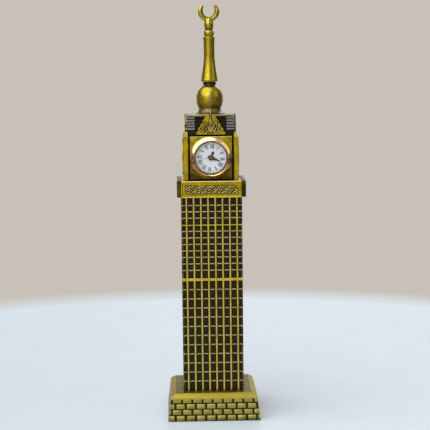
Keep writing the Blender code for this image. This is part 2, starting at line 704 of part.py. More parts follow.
def make_movement(body):
    plate = finish("main_plate", disc(10.55 * MM, 13.8 * MM, 15.0 * MM), STEEL, CLOCK, body)
    join(plate, disc(0.5 * MM, 13 * MM, 16 * MM, 16), CLOCK, "DIFFERENCE")
    for frame in (STEP_WHEEL, ROTOR):
        join(plate, disc(0.4 * MM, 13 * MM, 16 * MM, 16), frame, "DIFFERENCE")
    join(plate, disc(0.26 * MM, 14.8 * MM, 16.05 * MM, 16), MINUTE_WHEEL, "UNION")

    battery_at = CLOCK @ Matrix.Translation((-4.4 * MM, -1.0 * MM, 0))
    finish("button_cell", disc(3.4 * MM, 10.6 * MM, 12.7 * MM, 32), STEEL, battery_at, body)
    coil_place = Matrix.Translation((1.6 * MM, -6.6 * MM, 11.9 * MM))
    coil_at = CLOCK @ coil_place @ Matrix.Rotation(math.radians(90), 4, "Y")
    spool = [(0, -2.6), (1.0, -2.6), (1.0, -2.3), (0.8, -2.3), (0.8, 2.3), (1.0, 2.3), (1.0, 2.6), (0, 2.6)]
    finish("coil", turned([(r * MM, z * MM) for r, z in spool], 24), COPPER, coil_at, body)
    stator_block = block((3.0 * MM, 6.6 * MM), (-5.3 * MM, -2.4 * MM), (12.1 * MM, 12.45 * MM))
    stator = finish("stator", stator_block, STEEL, CLOCK, body)
    join(stator, disc(1.15 * MM, 11 * MM, 13.2 * MM, 24), ROTOR, "DIFFERENCE")

    board_r, board_low, board_left = 8.6 * MM, 1.2 * MM, -0.5 * MM
    first, last = math.asin(board_low / board_r), math.acos(board_left / board_r)
    turns = [first + (last - first) * i / 12 for i in range(13)]
    board = [(board_left, board_low)] + [(board_r * math.cos(a), board_r * math.sin(a)) for a in turns]
    finish("circuit_board", prism(board, 12.0 * MM, 12.4 * MM), BOARD, CLOCK, body)


def make_crown(bodies):
    finish("setting_stem", disc(0.4 * MM, 5.0 * MM, 10.1 * MM, 16), STEEL, STEM, bodies["stem"])
    flutes = gear_outline(18, 0.125 * MM, 0)
    finish("setting_crown", prism(flutes, 10.25 * MM, 11.4 * MM), STEEL, STEM, bodies["crown"])


MINUTE_WHEEL = beside(CLOCK, (CANNON_TEETH + MINUTE_TEETH) / 2 * MOTION_MODULE, MINUTE_WHEEL_ANGLE)
STEP_WHEEL = beside(CLOCK, (SECONDS_TEETH + STEP_PINION_TEETH) / 2 * TRAIN_MODULE, STEP_WHEEL_ANGLE)
ROTOR = beside(STEP_WHEEL, (STEP_TEETH + ROTOR_TEETH) / 2 * TRAIN_MODULE, ROTOR_ANGLE)
STEM = CLOCK @ Matrix.Translation((0, 0, STEM_AT)) @ Matrix.Rotation(math.radians(90), 4, "Y")


def main():
    make_base()
    make_shaft()
    make_collar()
    make_pilasters()
    make_clock_panels()
    make_belfry()
    make_crests()
    make_dome()
    make_spire()
    make_beads()
    make_crescent()

    insert = make_body("clock_insert", CLOCK)
    frames = {
        "hour": CLOCK,
        "minute": CLOCK,
        "second": CLOCK,
        "minute_wheel": MINUTE_WHEEL,
        "step": STEP_WHEEL,
        "rotor": ROTOR,
        "stem": STEM,
        "crown": STEM,
        "back": CLOCK,
    }
    bodies = {}
    for name, frame in frames.items():
        bodies[name] = make_body(f"{name}_axis", frame)
        bodies[name].parent = insert
        bodies[name].matrix_parent_inverse = insert.matrix_world.inverted()
    make_case(insert)
    make_case_back(bodies["back"])
    make_movement(insert)
    make_hands(bodies)
    make_motion_work(bodies)
    make_seconds_train(bodies)
    make_crown(bodies)


main()
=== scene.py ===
import json
import math

import bmesh
import bpy
import numpy as np
from mathutils import Matrix, Vector


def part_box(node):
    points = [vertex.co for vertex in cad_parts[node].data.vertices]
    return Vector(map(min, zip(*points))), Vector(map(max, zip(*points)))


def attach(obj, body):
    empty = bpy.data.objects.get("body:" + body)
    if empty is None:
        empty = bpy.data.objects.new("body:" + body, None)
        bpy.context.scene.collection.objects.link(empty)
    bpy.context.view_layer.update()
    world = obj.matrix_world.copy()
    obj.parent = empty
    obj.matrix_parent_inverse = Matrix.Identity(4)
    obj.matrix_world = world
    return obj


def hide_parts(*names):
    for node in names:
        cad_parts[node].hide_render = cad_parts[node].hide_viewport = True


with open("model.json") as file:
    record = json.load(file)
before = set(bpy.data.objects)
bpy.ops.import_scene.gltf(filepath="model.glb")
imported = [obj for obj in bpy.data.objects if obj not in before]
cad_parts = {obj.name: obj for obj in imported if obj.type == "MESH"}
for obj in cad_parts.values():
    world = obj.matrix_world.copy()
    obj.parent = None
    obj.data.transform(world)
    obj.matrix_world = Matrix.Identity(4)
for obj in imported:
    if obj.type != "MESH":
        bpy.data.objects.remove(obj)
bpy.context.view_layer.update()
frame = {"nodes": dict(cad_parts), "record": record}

# The looks of the souvenir clock tower. Castings are redrawn round the CAD nodes with their relief:
# bricks, window bars, louvres, ribs and ornaments. A "face frame" has x to the right, y up and z
# forward from the tower's axis; every side is drawn in it once and then turned into place.
# Each vertex carries "relief" (0 in a recess that holds patina, 1 on a rubbed surface; in some places it
# is lowered as painted shade) and a wear value (how far the plating is rubbed pale; it also holds painted
# highlights and reflections, and on the bezel painted reflections and shade), which the brass material
# reads. The pieces are drawn in millimetres and scaled when they are built; the stage is in metres.

MM = 0.001
AXIS = 0.01  # a ring of this radius closes a piece on its axis
FACE = Matrix.Rotation(math.radians(90), 4, "X")
SIDES = {"front": 0, "right": 90, "back": 180, "left": 270}
CORNERS = {"front_right": 0, "back_right": 90, "back_left": 180, "front_left": 270}
UPRIGHT = Matrix.Identity(4)
CLOCK_Z = 168.5
CLOCK = Matrix.Translation((0, 0, CLOCK_Z)) @ FACE  # the face frame, raised to the dial's middle


def turn_z(degrees):
    return Matrix.Rotation(math.radians(degrees), 4, "Z")


def side_frame(side):
    return turn_z(SIDES[side]) @ FACE


def box(node):
    """A node's box in millimetres, as its low and high corners."""
    return [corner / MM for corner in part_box(node)]


def side_box(node):
    """A front node's box as ranges in the face frame: x, y and z forward."""
    low, high = box(node)
    return (low.x, high.x), (low.z, high.z), (-high.y, -low.y)


# ---- materials


class Nodes:
    """The node tree of a material or world, with short calls to add and link nodes."""

    def __init__(self, owner):
        owner.use_nodes = True
        self.owner = owner
        self.tree = owner.node_tree
        self.shader = self.tree.nodes.get("Principled BSDF")

    def add(self, kind, inputs=None, **settings):
        node = self.tree.nodes.new(kind)
        for key, value in settings.items():
            setattr(node, key, value)
        for key, value in (inputs or {}).items():
            self.put(node.inputs[key], value)
        return node

    def put(self, socket, value):
        if isinstance(value, bpy.types.NodeSocket):
            self.tree.links.new(value, socket)
        else:
            socket.default_value = value

    def set(self, **inputs):
        for key, value in inputs.items():
            self.put(self.shader.inputs[key.replace("_", " ")], value)

    def position(self):
        return self.add("ShaderNodeTexCoord").outputs["Object"]

    def noise(self, scale, detail=3.0, roughness=0.5):
        inputs = {"Vector": self.position(), "Scale": scale, "Detail": detail, "Roughness": roughness}
        return self.add("ShaderNodeTexNoise", inputs).outputs["Fac"]

    def spread(self, value, low, high, to_low=0.0, to_high=1.0):
        """A value's range from low to high stretched to another range, with its ends held."""
        inputs = {"Value": value, "From Min": low, "From Max": high, "To Min": to_low, "To Max": to_high}
        return self.add("ShaderNodeMapRange", inputs, clamp=True).outputs["Result"]

    def math(self, operation, first, second):
        return self.add("ShaderNodeMath", {0: first, 1: second}, operation=operation).outputs[0]

    def attribute(self, name):
        return self.add("ShaderNodeAttribute", attribute_name=name).outputs["Fac"]

    def blend(self, share, first, second):
        node = self.add("ShaderNodeMix", {"Factor": share}, data_type="RGBA")
        for socket, value in ((node.inputs[6], first), (node.inputs[7], second)):
            self.put(socket, value if isinstance(value, bpy.types.NodeSocket) else (*value, 1))
        return node.outputs[2]

    def clouds(self, scale, first, second, detail=3.0):
        """Two colours that drift into each other."""
        return self.blend(self.spread(self.noise(scale, detail), 0.3, 0.7), first, second)

    def bump(self, height, distance, strength=1.0):
        inputs = {"Height": height, "Distance": distance * MM, "Strength": strength}
        self.set(Normal=self.add("ShaderNodeBump", inputs).outputs["Normal"])


def start(name):
    return Nodes(bpy.data.materials.new(name))


def antique_brass(
    name,
    light=(0.57, 0.44, 0.008),
    deep=(0.36, 0.27, 0.004),
    pale=(0.66, 0.62, 0.42),
    roughness=0.30,
    coat=0.1,
):
    """Plated casting: yellow brass where hands rub it, near-black patina where they can't reach. Lowered
    relief also darkens it as painted shade, and its pale tone also serves as painted highlights and
    reflections.
    """
    made = start(name)
    cloud = made.noise(220, 4)
    grain = made.noise(2600, 2)
    uneven = made.spread(cloud, 0.3, 0.7, -0.08, 0.08)
    rubbed_and_lit = made.spread(made.math("ADD", made.attribute("relief"), uneven), 0.25, 0.9)
    brass = made.blend(made.spread(cloud, 0.35, 0.68), deep, light)
    worn_and_highlit = made.math("MULTIPLY", made.attribute("wear"), made.spread(grain, 0.25, 0.6, 0.8, 1.0))
    # pale stands for rubbed plating, and also for painted highlights and reflections where the wear value
    # puts it.
    brass = made.blend(worn_and_highlit, brass, pale)
    specks = made.spread(made.noise(900, 3), 0.66, 0.74, 0.0, 0.35)
    brass = made.blend(specks, brass, (0.10, 0.07, 0.015))
    made.set(Base_Color=made.blend(rubbed_and_lit, (0.022, 0.0135, 0.004), brass))
    made.set(Metallic=made.spread(rubbed_and_lit, 0.0, 0.4, 0.85, 1.0))
    dull = made.spread(rubbed_and_lit, 0.0, 1.0, 0.15, 0.0)
    grainy = made.math("ADD", made.spread(grain, 0.3, 0.7, 0.0, 0.06), dull)
    made.set(Roughness=made.math("ADD", grainy, roughness))
    made.set(Coat_Weight=coat, Coat_Roughness=0.16, Coat_IOR=1.45)
    made.bump(made.math("ADD", grain, cloud), 0.012)
    return made.owner


def polished_gold():
    """Bright gold plating; the wear value mixes in a copper-red colour, which on the bezel paints
    reflections and shade.
    """
    made = start("polished_gold")
    gold = made.clouds(160, (0.92, 0.64, 0.26), (0.96, 0.71, 0.34))
    made.set(Base_Color=made.blend(made.attribute("wear"), gold, (0.32, 0.105, 0.02)))
    made.set(Metallic=1.0, Roughness=made.spread(made.noise(700, 3), 0.3, 0.7, 0.07, 0.15))
    return made.owner


def plated_steel():
    made = start("plated_steel")
    stretch = made.add("ShaderNodeMapping", {"Vector": made.position(), "Scale": (300, 300, 4000)})
    inputs = {"Vector": stretch.outputs[0], "Scale": 1.0, "Detail": 2.0}
    lines = made.add("ShaderNodeTexNoise", inputs).outputs["Fac"]
    made.set(Base_Color=made.clouds(300, (0.50, 0.50, 0.49), (0.68, 0.68, 0.66)))
    made.set(Metallic=1.0, Roughness=made.spread(lines, 0.3, 0.7, 0.25, 0.45))
    made.bump(lines, 0.01)
    return made.owner


def grained(name, low, high, roughness, scale=1500, depth=0.03):
    """Moulded or printed stuff: two close colours and a fine grain."""
    made = start(name)
    grain = made.noise(scale, 3)
    made.set(Base_Color=made.clouds(250, low, high))
    made.set(Roughness=made.spread(grain, 0.3, 0.7, roughness - 0.06, roughness + 0.06))
    made.bump(grain, depth)
    return made.owner


def felt():
    made = start("felt")
    fibres = made.noise(2200, 6, 0.75)
    tuft = made.spread(fibres, 0.35, 0.7)
    made.set(Base_Color=made.blend(tuft, (0.020, 0.055, 0.030), (0.070, 0.150, 0.085)))
    made.set(Roughness=0.95, Sheen_Weight=0.4, Sheen_Roughness=0.5)
    made.bump(fibres, 0.25)
    return made.owner


def crystal():
    """Clear glass: it lets the light through to the dial and only adds its reflection."""
    made = start("crystal")
    made.tree.nodes.remove(made.shader)
    clear = made.add("ShaderNodeBsdfTransparent", {"Color": (0.985, 0.99, 0.99, 1)})
    gloss = made.add("ShaderNodeBsdfGlossy", {"Roughness": 0.02})
    fresnel = made.add("ShaderNodeFresnel", {"IOR": 1.5})
    outside = made.math("SUBTRACT", 1.0, made.add("ShaderNodeNewGeometry").outputs["Backfacing"])
    share = made.math("MULTIPLY", fresnel.outputs[0], outside)
    both = made.add("ShaderNodeMixShader", {0: share, 1: clear.outputs[0], 2: gloss.outputs[0]})
    made.put(made.tree.nodes["Material Output"].inputs["Surface"], both.outputs[0])
    return made.owner


def hand_lacquer():
    made = start("hand_lacquer")
    made.set(Base_Color=made.clouds(1500, (0.055, 0.032, 0.008), (0.10, 0.06, 0.015)))
    made.set(Metallic=0.8, Roughness=made.spread(made.noise(2500), 0.3, 0.7, 0.25, 0.4))
    return made.owner


def copper_winding():
    made = start("copper_winding")
    inputs = {"Vector": made.position(), "Scale": 1600.0}
    wires = made.add("ShaderNodeTexWave", inputs, bands_direction="X").outputs["Fac"]
    made.set(Base_Color=made.blend(wires, (0.30, 0.10, 0.04), (0.72, 0.32, 0.14)))
    made.set(Metallic=1.0, Roughness=0.35)
    made.bump(wires, 0.05)
    return made.owner


BRASS = antique_brass("antique_brass")
# The shaft's pale tone is a neutral grey: painted reflection of the ceiling on the sills.
GRILLE = antique_brass(
    "antique_brass_shaft",
    light=(0.72, 0.58, 0.07),
    deep=(0.52, 0.40, 0.04),
    pale=(0.50, 0.48, 0.38),
    roughness=0.32,
    coat=0.12,
)
# The plinth's pale tone is a warm gold: painted reflection and highlight on the shoulder and the top
# course.
MASONRY = antique_brass(
    "antique_brass_plinth",
    light=(0.38, 0.34, 0.075),
    deep=(0.28, 0.25, 0.055),
    pale=(0.56, 0.42, 0.05),
    roughness=0.40,
)
# The belfry's pale tone is a cool blue-grey: painted reflection of the sky on the louvre fins and the roof.
LOUVRES = antique_brass("antique_brass_belfry", pale=(0.20, 0.22, 0.27), roughness=0.34)
FINIAL = antique_brass(
    "antique_brass_finial",
    light=(0.46, 0.37, 0.012),
    deep=(0.32, 0.24, 0.006),
    roughness=0.27,
    coat=0.45,
)
GOLD = polished_gold()
STEEL = plated_steel()
FELT = felt()
CRYSTAL = crystal()
DIAL = grained("dial_enamel", (0.74, 0.78, 0.85), (0.78, 0.82, 0.88), 0.35, 3000, 0.005)
INK = grained("dial_ink", (0.012, 0.012, 0.018), (0.03, 0.03, 0.04), 0.45)
LACQUER = hand_lacquer()
# The dial ring's dark colour is painted shade: it stands in the bezel's shadow.
SHADED_RING = grained("dial_ring_shaded_brass", (0.10, 0.07, 0.025), (0.16, 0.11, 0.04), 0.4)
RUBBER = grained("black_rubber", (0.018, 0.018, 0.018), (0.035, 0.035, 0.035), 0.7)
PLASTIC = grained("moulded_plastic", (0.055, 0.055, 0.06), (0.09, 0.09, 0.095), 0.45)
BOARD = grained("circuit_board", (0.02, 0.12, 0.05), (0.04, 0.20, 0.08), 0.4)
COPPER = copper_winding()


# ---- mesh building


def place(name, data):
    made = bpy.data.objects.new(name, data)
    bpy.context.scene.collection.objects.link(made)
    return made


def set_tone(mesh, label, values):
    """Sets a mesh's relief or its wear value, which also holds painted light: one value for the whole, or
    one for each point.
    """
    full = np.full(len(mesh.vertices), values, np.float32)
    mesh.attributes[label].data.foreach_set("value", full)


def build(name, points, faces, material, body="tower", matrix=UPRIGHT, relief=None, wear=None, crease=38):
    """A closed, smooth-shaded piece from points and faces, with its relief and its wear value, which also
    holds painted light, at each point.
    """
    mesh = bpy.data.meshes.new(name)
    faces = [tuple(map(int, face)) for face in faces]
    mesh.from_pydata(np.asarray(points, float).tolist(), [], faces)
    for label, values, usual in (("relief", relief, 1.0), ("wear", wear, 0.0)):
        mesh.attributes.new(label, "FLOAT", "POINT")
        set_tone(mesh, label, usual if values is None else np.ravel(values))
    bm = bmesh.new()
    bm.from_mesh(mesh)
    bmesh.ops.remove_doubles(bm, verts=bm.verts, dist=0.002)
    bmesh.ops.dissolve_degenerate(bm, edges=bm.edges, dist=0.0001)
    bmesh.ops.recalc_face_normals(bm, faces=bm.faces)
    bm.to_mesh(mesh)
    bm.free()
    mesh.materials.append(material)
    mesh.shade_smooth()
    mesh.set_sharp_from_angle(angle=math.radians(crease))
    mesh.transform(Matrix.Scale(MM, 4) @ matrix)
    made = place(name, mesh)
    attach(made, body)
    return made


def stand_for(made, node):
    """Lets a piece take the place of a CAD node."""
    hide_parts(node)


def ring_faces(rows, count, wrap=False):
    """Quads between successive rings of count points; wrap joins the last ring to the first."""
    faces = []
    for row in range(rows if wrap else rows - 1):
        low, high = row * count, (row + 1) % rows * count
        for i in range(count):
            after = (i + 1) % count
            faces.append((low + i, low + after, high + after, high + i))
    if not wrap:
        faces.append(tuple(range(count)))
        faces.append(tuple((rows - 1) * count + i for i in range(count)))
    return faces


def loft(name, rings, material, body="tower", wrap=False, **more):
    faces = ring_faces(len(rings), len(rings[0]), wrap)
    return build(name, np.concatenate(rings), faces, material, body, **more)


def rounded(profile, radius, closed=False):
    """A profile with its corners cut to short arcs, so that its edges catch the light."""
    points = [Vector(p) for p in profile]
    count = len(points)
    out = []
    for i, point in enumerate(points):
        if not closed and i in (0, count - 1):
            out.append(tuple(point))
            continue
        before, after = points[i - 1] - point, points[(i + 1) % count] - point
        cut = min(radius, 0.45 * before.length, 0.45 * after.length)
        start, end = point + before.normalized() * cut, point + after.normalized() * cut
        for share in (0.0, 0.3, 0.7, 1.0):
            rest = 1 - share
            out.append(tuple(start * rest**2 + point * 2 * share * rest + end * share**2))
    return out


def circle(angles):
    return np.column_stack([np.cos(angles), np.sin(angles)])


def turned_plan(points, degrees):
    """Points of a plan, turned about its origin."""
    cos, sin = circle(math.radians(degrees))[0]
    return np.asarray(points, float) @ np.array([(cos, sin), (-sin, cos)])


def level_ring(points, height):
    """A plan's points at one height, or each at its own."""
    return np.column_stack([points, np.broadcast_to(height, len(points))])


def turned(name, profile, material, body="tower", steps=96, matrix=UPRIGHT, radius=0.15, wrap=False):
    """A lathe-turned piece from (radius, height) points, with its corners rounded."""
    plan = circle(np.linspace(0, math.tau, steps, endpoint=False))
    rings = [level_ring(r * plan, z) for r, z in rounded(profile, radius, wrap)]
    return loft(name, rings, material, body, wrap, matrix=matrix)


def four_fold(quarter, z):
    """A ring at height z from its points in one quarter."""
    return np.concatenate([level_ring(turned_plan(quarter, 90 * k), z) for k in range(4)])


def square_piece(name, profile, material, corner, radius, wrap=False):
    """A square piece from (half width, height) points, with rounded edges and corners."""
    rings = []
    for half, z in rounded(profile, radius, wrap):
        cut = min(corner, 0.8 * half)
        rings.append(four_fold(circle(np.linspace(0, math.pi / 2, 4)) * cut + half - cut, z))
    return loft(name, rings, material, wrap=wrap)


def slab(low, high, outer, hole=AXIS):
    """Profile of a plain plate, or of one with a hole."""
    return [(hole, low), (outer, low), (outer, high), (hole, high)]


def sculpted(name, front, behind, material, matrix, relief, wear, wall=0.5):
    """A closed plate from grids of front and back points; only the back's border is used.
    wall is the relief of its edges, which starts just behind the front."""
    rows, columns = front.shape[:2]
    index = np.arange(rows * columns).reshape(rows, columns)
    rim = np.concatenate([index[0], index[1:, -1], index[-1, -2::-1], index[-2:0:-1, 0]])
    quads = np.stack([index[:-1, :-1], index[:-1, 1:], index[1:, 1:], index[1:, :-1]], -1)
    faces = quads.reshape(-1, 4).tolist()
    front, behind = front.reshape(-1, 3), behind.reshape(-1, 3)[rim]
    lip = front[rim] + (behind - front[rim]) * 0.08
    count, base = len(rim), len(front)
    loops = [rim, base + np.arange(count), base + count + np.arange(count)]
    for near, far in zip(loops, loops[1:]):
        for i in range(count):
            after = (i + 1) % count
            faces.append((near[i], near[after], far[after], far[i]))
    faces.append(tuple(loops[-1]))
    relief = np.concatenate([np.ravel(relief), np.full(2 * count, wall)])
    wear = np.concatenate([np.ravel(wear), np.zeros(2 * count)])
    points = np.concatenate([front, lip, behind])
    return build(name, points, faces, material, matrix=matrix, relief=relief, wear=wear)


def plate(name, xs, ys, surface, back, material, matrix, relief, wear, mitre=0.0, wall=0.5):
    """A plate with a sculpted front: surface is an array of forward distances over the grid xs, ys.
    mitre narrows the back on the left and right by that much."""
    x, y = np.meshgrid(xs, ys)
    front = np.stack([x, y, surface], -1)
    behind = np.stack([np.clip(x, xs[0] + mitre, xs[-1] - mitre), y, np.full(x.shape, back)], -1)
    return sculpted(name, front, behind, material, matrix, relief, wear, wall)


def smooth(value):
    value = np.clip(value, 0, 1)
    return value * value * (3 - 2 * value)


def dome_edge(value):
    """Rises from 0 to 1 like a quarter round."""
    value = np.clip(value, 0, 1)
    return np.sqrt(1 - (1 - value) ** 2)


def nearest(position, centres):
    """Distance from each position to the nearest centre."""
    return np.min([np.abs(position - centre) for centre in centres], axis=0)


def around(centres, offsets, low, high):
    """Grid lines at each centre plus and minus each offset, kept within the range."""
    lines = {round(low, 4), round(high, 4)}
    for centre in centres:
        for offset in offsets:
            for line in (centre - offset, centre + offset):
                if low + 0.01 < line < high - 0.01:
                    lines.add(round(line, 4))
    return np.array(sorted(lines))


def stroke_distance(x, y, strokes):
    """Distance from each grid point to the nearest of some polylines."""
    points = np.stack([x.ravel(), y.ravel()], -1)
    best = np.full(len(points), np.inf)
    for stroke in strokes:
        starts, ends = np.array(stroke[:-1]), np.array(stroke[1:])
        for start, end in zip(starts, ends):
            along = end - start
            share = np.clip(((points - start) @ along) / max(along @ along, 1e-10), 0, 1)
            foot = start + share[:, None] * along
            best = np.minimum(best, np.linalg.norm(points - foot, axis=1))
    return best.reshape(x.shape)


# ---- plinth

COURSES = 4
BRICK_PITCH = 6.55
JOINT_HALF = 0.5
BED_HALF = 0.25
BRICK_BEVEL = 0.35
BRICK_DEPTH = 0.6
SLOT_TOP = 1.05  # the top course's joints stop this far below its edge


def brick_joints(course, half):
    """The vertical joints of a course; every other course is shifted by part of a brick."""
    first = -0.98 if course % 2 == 0 else 1.35
    count = int(half / BRICK_PITCH) + 1
    return [first + i * BRICK_PITCH for i in range(-count, count + 1)]


def brick_height(x, z, low, high):
    """How far points at one height stand out of the joints, as a share of the brick's depth."""
    pitch = (high - low) / COURSES
    course = min(int((high - z) / pitch), COURSES - 1)
    to_bed = min(abs(z - (high - bed * pitch)) for bed in range(1, COURSES))
    upright = np.ones(x.shape)
    if z <= high - SLOT_TOP:
        gap = nearest(x, brick_joints(course, 30))
        upright = dome_edge((gap - JOINT_HALF) / BRICK_BEVEL)
    return np.minimum(upright, dome_edge((to_bed - BED_HALF) / BRICK_BEVEL))


def make_plinth():
    """The base casting, drawn as rings of four sides whose points carry the bricks' relief."""
    low, high = box("base_plinth")
    rim_z, rim_half = low.z, high.x
    top_half, top_z = 27.9, 15.1
    deck_half, deck_z, spigot_half = 24.5, 17.45, 16.8
    mouth_half, ledge_z, pocket_half, pocket_z = 27.2, 1.3, 25.4, 8.0
    joints = brick_joints(0, rim_half) + brick_joints(1, rim_half)
    bevel = np.array((0, 0.35, 1)) * BRICK_BEVEL
    lines = around(joints, JOINT_HALF + bevel, -rim_half, rim_half)[1:-1]
    pitch = (top_z - rim_z) / COURSES
    beds = [rim_z + pitch * i for i in range(1, COURSES)]
    levels = around(beds, BED_HALF + bevel, rim_z, top_z)
    levels = sorted(set(levels) | {top_z - SLOT_TOP, top_z - SLOT_TOP + 0.01})
    rings, relief, wear = [], [], []

    def add_ring(half, z, bricks, tone=1.0, shine=0.0):
        if bricks:
            margin = 0.3
            xs = np.concatenate([[-half], np.clip(lines, margin - half, half - margin)])
            height = brick_height(xs, z, rim_z, top_z)
            height[[0, 1, -1]] = np.max(height)
        else:
            xs = np.concatenate([[-half], lines * (half / rim_half)])
            height = np.ones(xs.shape)
        out = half - BRICK_DEPTH * (1 - height)
        xs[0] = -out[0]
        rings.append(four_fold(np.column_stack([xs, -out]), z))
        relief.append(np.tile(np.where(height > 0.9, tone, height * 0.8 * tone), 4))
        wear.append(np.full(4 * len(xs), shine))

    inside = [(AXIS, pocket_z), (pocket_half, pocket_z), (pocket_half, ledge_z), (mouth_half, ledge_z)]
    inside += [(mouth_half, rim_z), (rim_half - 0.25, rim_z)]
    for half, z in inside:
        add_ring(half, z, False, 0.3)
    for z in levels:
        lean = rim_half + (top_half - rim_half) * (z - rim_z) / (top_z - rim_z)
        # Painted highlight: the top course takes the gold pale tone towards the shoulder.
        near_top = smooth((z - (top_z - 2.5)) / 2.5)
        # Painted contact shadow: the lowest course is darker towards the felt.
        shaded = 0.4 + 0.6 * smooth((z - rim_z) / (1.3 * pitch))
        add_ring(lean, z, True, shaded, 0.6 * near_top)
    shoulder = [(top_half, top_z), (deck_half, deck_z), (spigot_half, deck_z)]
    shoulder += [(spigot_half, high.z), (AXIS, high.z)]
    # Painted reflection: the shoulder, unlike the deck, takes the gold pale tone.
    for half, z in rounded(shoulder, 0.35)[1:]:
        on_deck = half < deck_half
        add_ring(half, z, False, 0.58 if on_deck else 1.0, 0.0 if on_deck else 0.6)
    made = loft("plinth_casting", rings, MASONRY, relief=relief, wear=wear)
    stand_for(made, "base_plinth")


def make_felt():
    """The pad under the base, soft at its edge."""
    low, high = box("felt_pad")
    made = square_piece("felt_sheet", slab(low.z, high.z, high.x), FELT, 1.5, 0.4)
    stand_for(made, "felt_pad")


# ---- shaft

MULLIONS = 8
MULLION_PITCH = 4.6
MULLION_HALF = 0.67
BAR_HALF = 0.62
CORNER_STRIP = 1.1
THICK_BAND = (90.5, 1.05)
THIN_BAND = (125.7, 0.5)
LOWER_BARS = (23.95, 6.0, 11)  # first height, pitch and count
MIDDLE_BARS = (96.5, 4.2, 7)
UPPER_BARS = (130.2, 4.07, 3)


def bar_heights():
    heights = []
    for first, pitch, count in (LOWER_BARS, MIDDLE_BARS, UPPER_BARS):
        heights += [first + pitch * i for i in range(count)]
    return heights


def ridge(position, centres, half, flat):
    """Section of a row of bars: 1 on top of each, 0 beyond its half width, rounded between."""
    return dome_edge((half - nearest(position, centres)) / (half - flat))


def make_shaft():
    """Four panels of mullions, sills and slightly domed panes."""
    (x_low, x_high), (y_low, y_high), (back, face) = side_box("shaft_panel_front")
    mullions = [(i - (MULLIONS - 1) / 2) * MULLION_PITCH for i in range(MULLIONS)]
    panes = [mullions[0] - MULLION_PITCH / 2 + MULLION_PITCH * i for i in range(1, MULLIONS)]
    bars = bar_heights()
    depth = 1.0
    xs = around(mullions, (0, 0.3, 0.46, 0.57, MULLION_HALF, 1.0, 1.25), x_low, x_high)
    strips = [x_high - CORNER_STRIP * share for share in (0.12, 0.5, 0.85, 1.0)]
    xs = np.array(sorted(set(xs) | set(strips) | {-strip for strip in strips} | set(panes)))
    ys = around(bars, (0, 0.26, 0.44, 0.56, BAR_HALF), y_low, y_high)
    edges = []
    for middle, half in (THICK_BAND, THIN_BAND):
        for offset in (half, half - 0.08, half - 0.2):
            edges += [middle - offset, middle + offset]
    stops = sorted(bars + [THICK_BAND[0], THIN_BAND[0], y_low, y_high])
    middles = [(low + high) / 2 for low, high in zip(stops, stops[1:])]
    ys = np.array(sorted(set(ys) | set(edges) | set(middles)))
    x, y = np.meshgrid(xs, ys)
    upright = ridge(x, mullions, MULLION_HALF, 0.38)
    sill = ridge(y, bars, BAR_HALF, 0.2) * 0.72
    band = np.zeros(x.shape)
    for middle, half in (THICK_BAND, THIN_BAND):
        band = np.maximum(band, ridge(y, [middle], half, half - 0.2))
    strip = dome_edge((np.abs(x) - (x_high - CORNER_STRIP)) / 0.2) * 0.96
    pane = 0.16 * smooth(1 - nearest(x, panes) / 1.5) * smooth(1 - nearest(y, middles) / 1.8)
    height = np.maximum.reduce([upright, sill, band, strip, pane])
    raised = np.maximum(upright, band)
    relief = np.where(raised > 0.85, 1.0, np.where(strip > 0.8, 0.3, 0.0))
    on_sill = (sill > 0.6) & (raised < 0.6) & (nearest(x, mullions) > 0.95)
    relief = np.maximum.reduce([relief, np.where(on_sill, 0.72, 0.0), 1.3 * pane])
    # Painted reflection: the sills take the grey pale tone where their tops face the ceiling.
    wear = np.where((sill > 0.6) & (raised < 0.6), 0.85, 0.02)
    surface, mitre = face - depth * (1 - height), face - back
    for side in SIDES:
        name, matrix = f"window_wall_{side}", side_frame(side)
        made = plate(name, xs, ys, surface, back, GRILLE, matrix, relief, wear, mitre)
        stand_for(made, f"shaft_panel_{side}")


# ---- collar


def vine_strokes(reach, rise):
    """A running vine: a wave from end to end, a curl in each bend and a pair of leaves beside it."""
    waves = 5
    length = 2 * reach / waves
    xs = np.linspace(-reach, reach, 141)
    strokes = [list(zip(xs, 0.62 * rise * np.sin(math.tau * (xs + reach) / length)))]
    for bend in range(2 * waves):
        side = 1 if bend % 2 == 0 else -1
        middle = -reach + length * (bend / 2 + 0.25)
        curl = []
        for i in range(19):
            angle = math.radians(-80 + 330 * i / 18)
            radius = rise * (0.62 - 0.42 * i / 18)
            drop = 0.32 * rise + radius * math.cos(angle)
            curl.append((middle + radius * math.sin(angle), -side * drop))
        strokes.append(curl)
        for lean in (-1, 1):
            leaf = [(0.18 * lean, 0.66), (0.42 * lean, 0.95), (0.80 * lean, 1.0)]
            strokes.append([(middle + rise * x, side * rise * y) for x, y in leaf])
    return strokes


